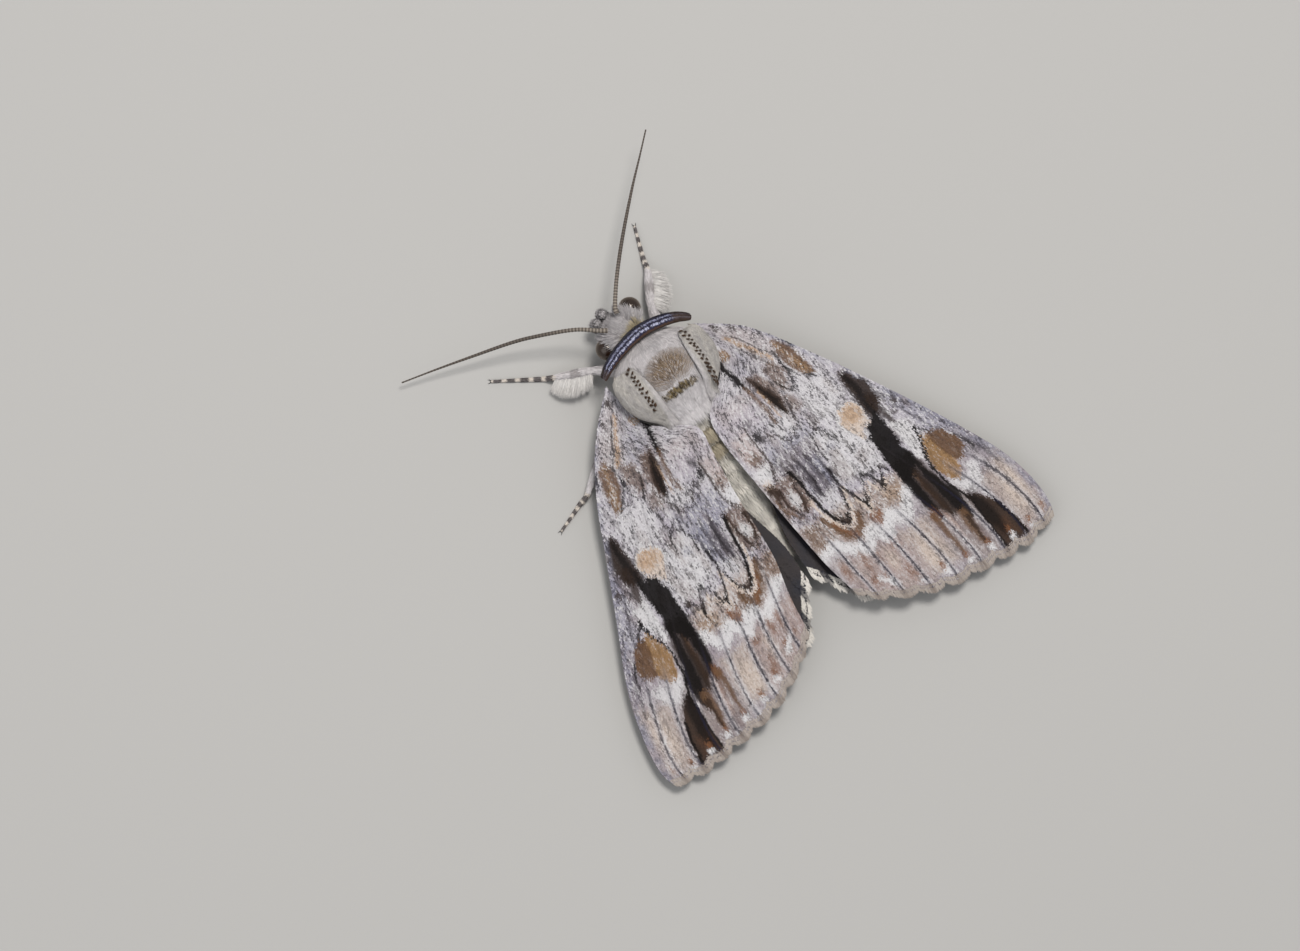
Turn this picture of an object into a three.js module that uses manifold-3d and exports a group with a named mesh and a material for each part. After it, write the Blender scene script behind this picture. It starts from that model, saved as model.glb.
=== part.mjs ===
// An underwing moth (genus Catocala) at rest, life size, in millimetres.
// +Z is up, the head faces -Y, the moth's own left side is +X. The moth is drawn about the middle
// of its collar on the floor plane, and the finished group is centred on its box at the end.
import * as THREE from "three";
import { mergeVertices } from "three/addons/utils/BufferGeometryUtils.js";
import Module from "manifold-3d";

const wasm = await Module();
wasm.setup();

// ---- Driving dimensions, mm ----

const GAP = 0.3; // clear space that every node keeps to its neighbours
const BODY_SIDES = 20; // facets round the thorax, abdomen and head

// Forewings, from the hinge at the shoulder to the apex and the tornus: [distance from midline, tailward].
// The moth rests a little askew, so the left wing shows narrower than the right.
const FOREWINGS = {
  left: {
    costa: [
      [5.5, 0.9], [9.7, 4.9], [13.0, 9.7], [15.7, 15.0], [18.8, 21.1], [21.4, 26.1], [23.1, 30.7], [23.95, 35.2],
    ],
    apex: [23.4, 38.0],
    margin: [[20.0, 38.7], [15.3, 38.4], [10.6, 37.7], [7.0, 36.0], [4.9, 34.5]],
    tornus: [3.6, 33.1],
    inner: [[5.15, 4.2], [4.6, 6.6], [2.3, 8.3], [0.75, 9.9], [1.1, 12.9], [1.6, 17.6], [2.05, 24.4], [3.0, 28.8]],
  },
  right: {
    costa: [
      [5.5, 0.9], [9.9, 4.3], [13.9, 10.1], [17.1, 15.6], [20.2, 21.4], [22.9, 26.9], [24.6, 31.2], [25.3, 35.6],
    ],
    apex: [24.8, 39.1],
    margin: [[21.2, 40.0], [15.9, 39.3], [11.2, 38.4], [7.2, 36.6], [4.5, 34.8]],
    tornus: [2.8, 32.9],
    inner: [[5.15, 4.2], [4.6, 6.6], [2.3, 8.3], [0.7, 9.9], [0.4, 12.6], [0.7, 17.4], [1.35, 24.0], [1.9, 28.7]],
  },
};
const FORE_THICKNESS = 0.5;

// Hindwing, folded flat under the forewing.
const HINDWING = {
  costa: [[4.8, 5.7], [9.6, 10.2], [13.4, 16.5], [15.6, 23.0], [15.4, 28.5]],
  apex: [13.6, 32.6],
  margin: [[10.2, 34.4], [6.6, 34.9], [3.6, 34.2], [1.95, 31.4]],
  tornus: [0.3, 28.6],
  inner: [[3.75, 7.4], [4.4, 10.0], [4.4, 12.4], [3.5, 15.6], [1.75, 18.4], [1.0, 21.2], [0.35, 24.4]],
};
const HIND_THICKNESS = 0.5;
const HIND_DROP = 1.35; // from the middle of the forewing's thickness to the hindwing's

// The roof that the folded wings make: its half width, and its height along the midline and along
// the costa, by distance tailward.
const ROOF_REACH = [
  [0.9, 5.5], [4.6, 9.8], [9.9, 13.45], [15.3, 16.4], [21.2, 19.5], [26.5, 22.15], [31.0, 23.85], [35.4, 24.6],
];
const ROOF_MIDLINE = [[0, 5.2], [5, 6.1], [9, 6.5], [14, 6.25], [20, 5.5], [28, 4.5], [34, 3.7], [41, 2.9]];
const ROOF_EDGE = [[0, 4.45], [4, 3.8], [10, 2.8], [20, 2.2], [30, 1.9], [41, 1.75]];
const ROOF_FALL = 1.3; // power of the fall from midline to edge: above 1 the roof is rounded

// Veins of each wing: where each lies across the wing at the root and at the outer margin (0 is the
// inner margin, 1 the costa), and the share of the length where it starts.
const FORE_VEINS = [
  { root: 0.13, margin: 0.05, from: 0 },
  { root: 0.29, margin: 0.14, from: 0.34 },
  { root: 0.38, margin: 0.27, from: 0 },
  { root: 0.47, margin: 0.39, from: 0.47 },
  { root: 0.56, margin: 0.52, from: 0.47 },
  { root: 0.65, margin: 0.64, from: 0.47 },
  { root: 0.74, margin: 0.76, from: 0 },
  { root: 0.83, margin: 0.88, from: 0.5 },
];
const HIND_VEINS = [
  { root: 0.16, margin: 0.12, from: 0 },
  { root: 0.32, margin: 0.28, from: 0 },
  { root: 0.48, margin: 0.46, from: 0 },
  { root: 0.64, margin: 0.64, from: 0 },
  { root: 0.8, margin: 0.82, from: 0 },
];
const VEIN_HALF_WIDTH = 0.34;
const VEIN_HEIGHT = 0.2;
const CELL_END = 0.47; // share of the forewing's length where the cross vein closes the cell
const NOTCH_SHARE = 0.014; // depth of the outer margin's scallops at each vein's end, as a share of the length

// Body: [tailward, value] knots of the half width, the top and the underside.
const THORAX = {
  from: -0.4,
  to: 7.6,
  half: [[-0.4, 2.8], [0.8, 4.3], [2.6, 4.7], [4.6, 4.6], [6.4, 3.9], [7.6, 2.8]],
  top: [[-0.4, 6.9], [0.8, 7.8], [2.6, 8.3], [4.6, 8.3], [6.4, 7.5], [7.6, 6.3]],
  under: [[-0.4, 2.8], [0.8, 2.1], [2.6, 1.7], [4.6, 1.6], [6.4, 1.7], [7.6, 2.1]],
};
const ABDOMEN = {
  from: 7.9,
  to: 24.3,
  half: [[7.9, 2.7], [9.4, 3.4], [12, 3.5], [15, 3.0], [18, 2.0], [20.5, 1.25], [22.6, 0.9], [24.3, 0.45]],
  top: [[7.9, 4.9], [9.4, 5.25], [12, 5.05], [15, 4.5], [18, 3.7], [20.5, 3.05], [22.6, 2.6], [24.3, 2.2]],
  under: [[7.9, 2.0], [9.4, 1.6], [12, 1.3], [15, 1.1], [18, 1.0], [20.5, 1.0], [22.6, 1.15], [24.3, 1.45]],
};
const HEAD = { // as it would lie with the moth looking straight ahead
  from: -4.4,
  to: -1.3,
  half: [[-4.4, 0.9], [-3.7, 1.6], [-2.8, 1.9], [-1.9, 1.75], [-1.3, 1.1]],
  top: [[-4.4, 4.8], [-3.7, 5.6], [-2.8, 6.0], [-1.9, 5.8], [-1.3, 5.2]],
  under: [[-4.4, 3.5], [-3.7, 3.0], [-2.8, 2.8], [-1.9, 2.9], [-1.3, 3.3]],
};
const HEAD_TURN = 0.436; // radians that the head, its eyes and its palps turn to the moth's left
const NECK = [0, -1.0]; // the place they turn about
const ABDOMEN_RINGS = 7;
const RING_SWELL = 0.035; // share that each ring of the abdomen stands out

const EYE_RADIUS = 1.2;
const EYE_CENTRE = [2.38, -3.3, 4.4];

// Collar: the middle of its arc from front to shoulder, left side.
const COLLAR_ARC = [[0, -1.5, 7.2], [2.4, -1.15, 6.85], [4.2, -0.55, 6.1], [5.5, 0.22, 5.4]];
const COLLAR_HALF_DEPTH = 0.62;
const COLLAR_HALF_HEIGHT = 0.8;

// Tegula: the flap over the wing's root.
const TEGULA_FROM = 0.95;
const TEGULA_TO = 6.7;
const TEGULA_ANGLES = [0.3, 1.02]; // radians up from the side of the thorax
const TEGULA_THICKNESS = 0.5;
const TEGULA_FLARE = 0.4; // how much further its lower edge stands off

// Antennae: base to tip.
const ANTENNA_LEFT = [
  [2.3, -3.5, 6.05], [3.0, -4.0, 6.0], [5.0, -5.6, 5.6], [8.5, -7.4, 4.6], [10.8, -8.35, 3.9],
  [14.4, -9.5, 2.9], [18.0, -10.6, 2.1], [21.6, -11.6, 1.5],
];
const ANTENNA_RIGHT = [
  [0.5, -4.35, 6.15], [0.2, -5.05, 6.15], [-1.6, -7.2, 6.1], [-4.5, -10.1, 5.9], [-8.4, -13.6, 5.5],
  [-11.0, -15.8, 5.6], [-13.2, -17.7, 5.8],
];
const ANTENNA_RADIUS = [0.3, 0.27, 0.13]; // base, middle, tip

const PALP = [[0.55, -4.0, 2.35], [0.6, -5.0, 2.6], [0.6, -5.5, 3.4], [0.55, -5.45, 4.3]];
const PALP_RADIUS = [0.42, 0.48, 0.26];

// Legs: distance tailward of the root on the thorax, then knee, ankle and toe. The tarsi lie along the floor.
const LEGS = {
  foreleg_left: { root: 0.5, knee: [5.3, -1.2, 2.5], ankle: [8.5, -2.9, 1.1], toe: [14.0, -6.5] },
  foreleg_right: { root: 0.5, knee: [-3.5, -3.0, 2.45], ankle: [-5.75, -6.3, 1.0], toe: [-7.55, -10.8] },
  midleg_left: { root: 3.4, knee: [7.9, 4.9, 2.1], ankle: [12.9, 8.5, 0.85], toe: [17.3, 10.0] },
  midleg_right: { root: 3.4, knee: [-7.9, 4.7, 2.1], ankle: [-12.2, 9.4, 0.85], toe: [-13.8, 13.8] },
  hindleg_left: { root: 6.1, knee: [6.3, 11.0, 1.9], ankle: [8.6, 18.6, 0.8], toe: [9.8, 24.2] },
  hindleg_right: { root: 6.1, knee: [-6.3, 11.0, 1.9], ankle: [-8.6, 18.6, 0.8], toe: [-9.8, 24.2] },
};
const LEG_ROOT_ANGLE = -0.85; // radians down from the side of the thorax
const FEMUR_RADIUS = [0.4, 0.72, 0.45];
const TIBIA_RADIUS = [0.4, 0.46, 0.34];
const TARSUS_RADIUS = [0.32, 0.3, 0.16];
const TARSUS_JOINTS = 5;
const LEG_SIDES = 6;

// Coat: flat tapered locks of hair scales.
const LOCK_STATIONS = [0, 0.4, 0.75]; // shares of a lock's length where its section is set
const LOCK_SINK = 0.55; // how deep a lock's root lies in the body
const LOCK_THICKNESS = 0.42;
const SLIVER = 0.012; // where locks cross, edges shorter than this are closed up
const THORAX_MANE = [ // rows of locks on the thorax: distance tailward, angles, number, length, lift, steepest fall
  { y: 1.2, span: [1.2, 1.94], count: 4, length: 1.7, lift: 0.16 },
  { y: 2.7, span: [1.18, 1.96], count: 5, length: 1.8, lift: 0.16 },
  { y: 4.2, span: [1.18, 1.96], count: 5, length: 2.0, lift: 0.2 },
  { y: 5.4, span: [1.2, 1.94], count: 5, length: 1.5, lift: 0.75 },
  { y: 5.9, span: [1.1, 2.04], count: 6, length: 2.3, lift: 0.2, fall: 0.2 },
  { y: 6.8, span: [0.8, 2.34], count: 8, length: 2.6, lift: 0.12, fall: 0.1 },
];
const HEAD_TUFT = [
  { y: -3.8, span: [0.35, 2.79], count: 6, length: 1.3, lift: 0.35 },
  { y: -2.9, span: [1.0, 2.14], count: 4, length: 1.3, lift: 0.4 },
];
const ABDOMEN_TUFTS = [ // the crests along its back
  { y: 10.2, span: [1.2, 1.94], count: 4, length: 1.5, lift: 0.5 },
  { y: 12.1, span: [1.2, 1.94], count: 4, length: 1.4, lift: 0.45 },
  { y: 14.2, span: [1.3, 1.84], count: 3, length: 1.3, lift: 0.35 },
];
const ABDOMEN_FRINGE = { from: 9.6, to: 19.8, count: 7, angle: 0.05, length: 1.7, shortening: 0.5, lift: 0.35 };
const TAIL_TUFT = { y: 22.8, count: 10, length: 2.2, lift: 0.1 };
const TEGULA_FRINGE = { count: 4, length: 1.6 };
const LEG_TUFT = { rows: 5, length: 2.5, width: 1.15 };

// ---- Colours ----

const FINISHES = {
  forewing: new THREE.MeshStandardMaterial({ color: 0xaaa29c, roughness: 0.85, metalness: 0 }),
  hindwing: new THREE.MeshStandardMaterial({ color: 0x23222e, roughness: 0.8, metalness: 0 }),
  fur: new THREE.MeshStandardMaterial({ color: 0xb5ada4, roughness: 0.95, metalness: 0 }),
  collar: new THREE.MeshStandardMaterial({ color: 0x2b2630, roughness: 0.85, metalness: 0 }),
  eye: new THREE.MeshStandardMaterial({ color: 0x15100d, roughness: 0.12, metalness: 0 }),
  limb: new THREE.MeshStandardMaterial({ color: 0x4d4036, roughness: 0.8, metalness: 0 }),
};

// ---- Small tools ----

const vec = (p) => new THREE.Vector3(...p);
const mix = (a, b, share) => a + (b - a) * share;
const clamp01 = (x) => Math.min(1, Math.max(0, x));
const smooth = (x) => clamp01(x) ** 2 * (3 - 2 * clamp01(x));

// A smooth function through [place, value] knots, level beyond both ends.
function throughKnots(knots) {
  const slope = (i) => {
    if (i === 0 || i === knots.length - 1) return 0;
    return (knots[i + 1][1] - knots[i - 1][1]) / (knots[i + 1][0] - knots[i - 1][0]);
  };
  return (x) => {
    if (x <= knots[0][0]) return knots[0][1];
    if (x >= knots.at(-1)[0]) return knots.at(-1)[1];
    const i = knots.findIndex((k) => k[0] > x) - 1;
    const span = knots[i + 1][0] - knots[i][0];
    const u = (x - knots[i][0]) / span;
    const rise = slope(i) * span * (u ** 3 - 2 * u ** 2 + u) + slope(i + 1) * span * (u ** 3 - u ** 2);
    return knots[i][1] * (2 * u ** 3 - 3 * u ** 2 + 1) + knots[i + 1][1] * (3 * u ** 2 - 2 * u ** 3) + rise;
  };
}

// A taper given by its sizes at the start, the middle and the end.
function taper(sizes) {
  return (u) => (u < 0.5 ? mix(sizes[0], sizes[1], u * 2) : mix(sizes[1], sizes[2], u * 2 - 1));
}

// A geometry as a manifold-3d solid.
function solidOf(geometry) {
  const bare = geometry.clone();
  bare.deleteAttribute("normal");
  bare.deleteAttribute("uv");
  const merged = mergeVertices(bare, 1e-4);
  const mesh = new wasm.Mesh({
    numProp: 3,
    vertProperties: new Float32Array(merged.attributes.position.array),
    triVerts: new Uint32Array(merged.index.array),
  });
  return new wasm.Manifold(mesh);
}

// The same solid with each edge shorter than SLIVER closed up, and each triangle flatter than that.
function withoutSlivers(solid) {
  const mesh = solid.simplify(SLIVER).getMesh();
  const place = (i) => new THREE.Vector3().fromArray(mesh.vertProperties, i * mesh.numProp);
  const joined = Array.from({ length: mesh.numVert }, (_, i) => i);
  const kept = (i) => (joined[i] === i ? i : kept(joined[i]));
  const corners = mesh.triVerts;
  for (let i = 0; i < corners.length; i++) {
    const a = kept(corners[i]);
    const b = kept(corners[i % 3 === 2 ? i - 2 : i + 1]);
    if (a !== b && place(a).distanceTo(place(b)) < SLIVER) joined[Math.max(a, b)] = Math.min(a, b);
  }
  const triVerts = [];
  for (let i = 0; i < corners.length; i += 3) {
    const triangle = [kept(corners[i]), kept(corners[i + 1]), kept(corners[i + 2])];
    if (new Set(triangle).size === 3) triVerts.push(...triangle);
  }
  const { numProp, vertProperties } = mesh;
  const welded = new wasm.Mesh({ numProp, vertProperties, triVerts: new Uint32Array(triVerts) });
  return new wasm.Manifold(welded).simplify(SLIVER);
}

// A manifold-3d solid as a geometry, keeping its largest closed surface.
function geometryOf(solid) {
  const pieces = withoutSlivers(solid).decompose().sort((a, b) => b.volume() - a.volume());
  const mesh = pieces[0].getMesh();
  const geometry = new THREE.BufferGeometry();
  geometry.setAttribute("position", new THREE.BufferAttribute(new Float32Array(mesh.vertProperties), 3));
  geometry.setIndex(new THREE.BufferAttribute(new Uint32Array(mesh.triVerts), 1));
  return geometry;
}

// One geometry out of a body and the pieces rooted in it.
function fused(body, pieces) {
  const all = [body, ...pieces].map(solidOf);
  return geometryOf(wasm.Manifold.union(all));
}

// Turned with the head about the neck.
function turnedWithHead(geometry) {
  const turned = geometry.clone();
  turned.translate(-NECK[0], -NECK[1], 0);
  turned.rotateZ(HEAD_TURN);
  turned.translate(NECK[0], NECK[1], 0);
  return turned;
}

// The same geometry on the moth's other side.
function mirrored(geometry) {
  const other = geometry.clone();
  other.scale(-1, 1, 1);
  const index = other.index.array;
  for (let i = 0; i < index.length; i += 3) [index[i + 1], index[i + 2]] = [index[i + 2], index[i + 1]];
  return other;
}

// A seeded draw between -1 and 1.
let seed = 20;
function vary() {
  seed = (seed * 1103515245 + 12345) % 2147483648;
  return (seed / 2147483648) * 2 - 1;
}

function middleOf(points) {
  return points.reduce((sum, p) => sum.add(p), new THREE.Vector3()).divideScalar(points.length);
}

// A closed surface through rings of points, each ring with the same number of points, with a point at each end.
function closedLoft(rings, start, end) {
  const sides = rings[0].length;
  const points = [...rings.flat(), start, end];
  const startAt = points.length - 2;
  const endAt = points.length - 1;
  const index = [];
  for (let r = 0; r < rings.length - 1; r++) {
    for (let k = 0; k < sides; k++) {
      const a = r * sides + k;
      const b = r * sides + ((k + 1) % sides);
      index.push(a, b, a + sides, b, b + sides, a + sides);
    }
  }
  const last = (rings.length - 1) * sides;
  for (let k = 0; k < sides; k++) {
    const next = (k + 1) % sides;
    index.push(startAt, next, k);
    index.push(endAt, last + k, last + next);
  }
  const geometry = new THREE.BufferGeometry();
  geometry.setAttribute("position", new THREE.Float32BufferAttribute(points.flatMap((p) => [p.x, p.y, p.z]), 3));
  geometry.setIndex(index);
  return geometry;
}

// ---- Body: lofts along Y with an egg-shaped section ----

function bodyShape(plan, swell = () => 1) {
  const half = throughKnots(plan.half);
  const top = throughKnots(plan.top);
  const under = throughKnots(plan.under);
  // The surface point at distance y tailward and angle a up from the left side.
  const at = (y, a) => {
    const middle = mix(under(y), top(y), 0.46);
    const reach = Math.sin(a) > 0 ? top(y) - middle : middle - under(y);
    return new THREE.Vector3(Math.cos(a) * half(y) * swell(y), y, middle + Math.sin(a) * reach * swell(y));
  };
  const normal = (y, a) => {
    const step = 0.05;
    const round = at(y, a + step).sub(at(y, a - step));
    const along = at(y + step, a).sub(at(y - step, a));
    return along.cross(round).normalize();
  };
  return { ...plan, at, normal };
}

function bodyGeometry(shape, ringCount, sides = BODY_SIDES) {
  const rings = [];
  for (let r = 0; r <= ringCount; r++) {
    const y = mix(shape.from, shape.to, r / ringCount);
    const ring = [];
    for (let k = 0; k < sides; k++) ring.push(shape.at(y, (-2 * Math.PI * k) / sides));
    rings.push(ring);
  }
  return closedLoft(rings, middleOf(rings[0]), middleOf(rings.at(-1)));
}

// ---- Coat ----

// A flat tapered lock from a root, running along one way with its broad face towards another.
function lock(root, along, face, length, width, curl = 0) {
  const side = along.clone().cross(face).normalize();
  const up = side.clone().cross(along).normalize();
  const rings = LOCK_STATIONS.map((u) => {
    const centre = root.clone().addScaledVector(along, length * u).addScaledVector(up, curl * length * u * u);
    const half = (width / 2) * (1 - 0.7 * u * u);
    const thick = (LOCK_THICKNESS / 2) * (1 - 0.5 * u);
    return [
      centre.clone().addScaledVector(side, half),
      centre.clone().addScaledVector(up, -thick),
      centre.clone().addScaledVector(side, -half),
      centre.clone().addScaledVector(up, thick),
    ];
  });
  const tip = root.clone().addScaledVector(along, length).addScaledVector(up, curl * length);
  return closedLoft(rings, root.clone(), tip);
}

// A row of locks round a body, rooted under its surface and lying towards the tail (or towards the
// head where way is -1).
function lockRow(shape, row, way = 1) {
  const locks = [];
  for (let k = 0; k < row.count; k++) {
    const share = row.count === 1 ? 0.5 : k / (row.count - 1);
    const angle = mix(...row.span, share) + vary() * 0.04;
    const y = row.y + vary() * 0.12;
    const face = shape.normal(y, angle);
    const flow = shape.at(y + way * 0.4, angle).sub(shape.at(y, angle)).normalize();
    const along = flow.addScaledVector(face, row.lift).normalize();
    if (row.fall !== undefined) along.z = Math.max(along.z, -row.fall);
    const root = shape.at(y, angle).addScaledVector(face, -LOCK_SINK * 0.7).addScaledVector(along, -0.2);
    const arc = (shape.at(y, row.span[0]).distanceTo(shape.at(y, row.span[1])) * 1.15) / row.count;
    const width = Math.max(0.85, arc * 1.2);
    locks.push(lock(root, along, face, row.length * (1 + vary() * 0.12) + LOCK_SINK, width, -0.06));
  }
  return locks;
}

// ---- Tubes: tapered limbs along a smooth curve ----

function tubeGeometry(points, radii, sides, steps, floor = -Infinity, joint = () => 1) {
  const curve = new THREE.CatmullRomCurve3(points.map(vec));
  const radius = taper(radii);
  const rings = [];
  for (let r = 0; r <= steps; r++) {
    const u = r / steps;
    const centre = curve.getPointAt(u);
    const along = curve.getTangentAt(u);
    const side = new THREE.Vector3(-along.y, along.x, 0).normalize();
    const up = side.clone().cross(along).negate();
    const ring = [];
    for (let k = 0; k < sides; k++) {
      const a = (2 * Math.PI * (k + 0.5)) / sides;
      const p = centre.clone();
      p.addScaledVector(side, Math.cos(a) * radius(u) * joint(u));
      p.addScaledVector(up, Math.sin(a) * radius(u) * joint(u));
      p.z = Math.max(p.z, floor);
      ring.push(p);
    }
    rings.push(ring);
  }
  return closedLoft(rings, curve.getPointAt(0), curve.getPointAt(1));
}

// ---- Wings ----

const roofMidline = throughKnots(ROOF_MIDLINE);
const roofEdge = throughKnots(ROOF_EDGE);
const roofReach = throughKnots(ROOF_REACH);

// Height of the roof of wings at a place beside the midline.
function roofHeight(x, y) {
  const share = Math.abs(x) / roofReach(y);
  return mix(roofMidline(y), roofEdge(y), share ** ROOF_FALL);
}

// A wing's plan: a patch between four edges, with s from the root to the outer margin and
// t from the inner margin to the costa.
function wingPlan({ costa, apex, margin, tornus, inner }) {
  const flat = (points) => new THREE.SplineCurve(points.map(([x, y]) => new THREE.Vector2(x, y)));
  const costaEdge = flat([...costa, apex]);
  const innerEdge = flat([...inner, tornus]);
  const outerEdge = flat([tornus, ...[...margin].reverse(), apex]);
  return (s, t) => {
    const front = costaEdge.getPointAt(s);
    const back = innerEdge.getPointAt(s);
    const outer = outerEdge.getPointAt(t);
    const mixed = (axis) => {
      const rootEdge = mix(inner[0][axis], costa[0][axis], t);
      const corners = mix(rootEdge, mix(tornus[axis], apex[axis], t), s);
      const key = axis === 0 ? "x" : "y";
      return mix(back[key], front[key], t) + mix(rootEdge, outer[key], s) - corners;
    };
    return new THREE.Vector2(mixed(0), mixed(1));
  };
}

// Places across the wing at share s: both edges, and the foot, crest and foot of each vein.
function veinColumns(veins, s, chord) {
  const foot = Math.min(VEIN_HALF_WIDTH / chord, 0.028);
  const columns = [{ t: 0, crest: 0 }];
  for (const vein of veins) {
    const t = mix(vein.root, vein.margin, s);
    const crest = vein.from === 0 ? 1 : smooth((s - vein.from) / 0.04);
    columns.push({ t: t - foot, crest: 0 }, { t, crest, end: 1 }, { t: t + foot, crest: 0 });
  }
  columns.push({ t: 1, crest: 0 });
  return columns;
}

function wingGeometry(plan, veins, rows, thickness, drop, crossVein) {
  const tops = [];
  const bottoms = [];
  for (const s of rows) {
    const chord = plan(s, 0).distanceTo(plan(s, 1));
    const crossing = crossVein && Math.abs(s - crossVein.at) < 1e-6;
    for (const { t, crest, end } of veinColumns(veins, s, chord)) {
      const onCross = crossing && t > crossVein.from && t < crossVein.to;
      const notch = end && s === 1 ? NOTCH_SHARE : 0;
      const place = plan(s - notch, t);
      const height = roofHeight(place.x, place.y) - drop;
      const ridge = VEIN_HEIGHT * Math.max(crest, onCross ? 0.8 : 0) * (1 - 0.5 * s);
      const half = (thickness / 2) * (s === 1 ? 0.6 : 1);
      tops.push(new THREE.Vector3(place.x, place.y, height + half + ridge));
      bottoms.push(new THREE.Vector3(place.x, place.y, height - half - ridge * 0.4));
    }
  }
  const across = tops.length / rows.length;
  const points = [...tops, ...bottoms];
  const under = tops.length;
  const index = [];
  const quad = (a, b, c, d) => index.push(a, b, c, a, c, d);
  for (let r = 0; r < rows.length - 1; r++) {
    for (let k = 0; k < across - 1; k++) {
      const a = r * across + k;
      const b = a + 1;
      const c = b + across;
      const d = a + across;
      quad(a, b, c, d);
      index.push(under + a, under + c, under + b, under + a, under + d, under + c);
    }
  }
  for (let r = 0; r < rows.length - 1; r++) {
    const inner = r * across;
    const outer = inner + across - 1;
    quad(inner, inner + across, under + inner + across, under + inner);
    quad(outer + across, outer, under + outer, under + outer + across);
  }
  for (let k = 0; k < across - 1; k++) {
    const last = (rows.length - 1) * across + k;
    quad(k + 1, k, under + k, under + k + 1);
    quad(last, last + 1, under + last + 1, under + last);
  }
  const geometry = new THREE.BufferGeometry();
  geometry.setAttribute("position", new THREE.Float32BufferAttribute(points.flatMap((p) => [p.x, p.y, p.z]), 3));
  geometry.setIndex(index);
  return geometry;
}

function evenRows(count) {
  return Array.from({ length: count + 1 }, (_, i) => i / count);
}

function forewing(outline) {
  const plan = wingPlan(outline);
  const rows = evenRows(18).filter((s) => Math.abs(s - CELL_END) > 0.03);
  rows.push(CELL_END - 0.012, CELL_END, CELL_END + 0.012);
  rows.sort((a, b) => a - b);
  const crossVein = { at: CELL_END, from: 0.36, to: 0.78 };
  return wingGeometry(plan, FORE_VEINS, rows, FORE_THICKNESS, 0, crossVein);
}

function hindwing() {
  const plan = wingPlan(HINDWING);
  return wingGeometry(plan, HIND_VEINS, evenRows(12), HIND_THICKNESS, HIND_DROP, null);
}

// ---- Head, collar, tegulae ----

const thoraxShape = bodyShape(THORAX);
const headShape = bodyShape(HEAD);
const abdomenShape = bodyShape(ABDOMEN, (y) => {
  const ring = ((y - ABDOMEN.from) / (ABDOMEN.to - ABDOMEN.from)) * ABDOMEN_RINGS;
  return 1 + RING_SWELL * Math.sin(Math.PI * 2 * (ring - Math.floor(ring)) - 0.6);
});

function thorax() {
  return fused(bodyGeometry(thoraxShape, 9), THORAX_MANE.flatMap((row) => lockRow(thoraxShape, row)));
}

// The head keeps a round socket for each eye, and its tuft lies forward over the face.
function head() {
  const tuft = HEAD_TUFT.flatMap((row) => lockRow(headShape, row, -1));
  let solid = solidOf(fused(bodyGeometry(headShape, 7), tuft));
  for (const side of [1, -1]) {
    const socket = new THREE.IcosahedronGeometry(EYE_RADIUS + GAP, 2);
    socket.translate(EYE_CENTRE[0] * side, EYE_CENTRE[1], EYE_CENTRE[2]);
    solid = solid.subtract(solidOf(socket));
  }
  return geometryOf(solid);
}

// The abdomen has crests along its back, a fringe along each side and a brush at the tail.
function abdomen() {
  const locks = ABDOMEN_TUFTS.flatMap((row) => lockRow(abdomenShape, row));
  const { from, to, count, angle, length, shortening, lift } = ABDOMEN_FRINGE;
  for (let k = 0; k < count; k++) {
    const y = mix(from, to, k / (count - 1));
    const size = length * (1 - (shortening * k) / count);
    for (const side of [angle, Math.PI - angle]) {
      const row = { y, span: [side - 0.25, side + 0.25], count: 1, length: size, lift };
      locks.push(...lockRow(abdomenShape, row));
    }
  }
  const turn = Math.PI / TAIL_TUFT.count;
  locks.push(...lockRow(abdomenShape, { ...TAIL_TUFT, span: [turn, 2 * Math.PI - turn] }));
  return fused(bodyGeometry(abdomenShape, 21, 16), locks);
}

function eye(side) {
  const ball = new THREE.IcosahedronGeometry(EYE_RADIUS, 3);
  ball.translate(EYE_CENTRE[0] * side, EYE_CENTRE[1], EYE_CENTRE[2]);
  return geometryOf(solidOf(ball));
}

// A thin band that stands on edge along an arc over the neck, leaning back over the thorax.
function collar() {
  const left = COLLAR_ARC.map(vec);
  const right = left.slice(1).reverse().map((p) => new THREE.Vector3(-p.x, p.y, p.z));
  const curve = new THREE.CatmullRomCurve3([...right, ...left]);
  const steps = 20;
  const rings = [];
  for (let r = 0; r <= steps; r++) {
    const u = r / steps;
    const centre = curve.getPointAt(u);
    const along = curve.getTangentAt(u);
    const out = new THREE.Vector3(along.y, -along.x, 0.25).normalize();
    const up = out.clone().cross(along).normalize();
    const size = 0.35 + 0.65 * Math.sin(Math.PI * u) ** 0.5;
    const ring = [];
    for (let k = 0; k < 10; k++) {
      const a = (-2 * Math.PI * k) / 10;
      const p = centre.clone();
      p.addScaledVector(out, Math.cos(a) * COLLAR_HALF_DEPTH * size);
      p.addScaledVector(up, Math.sin(a) * COLLAR_HALF_HEIGHT * size);
      ring.push(p);
    }
    rings.push(ring);
  }
  return closedLoft(rings, curve.getPointAt(0), curve.getPointAt(1));
}

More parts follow.
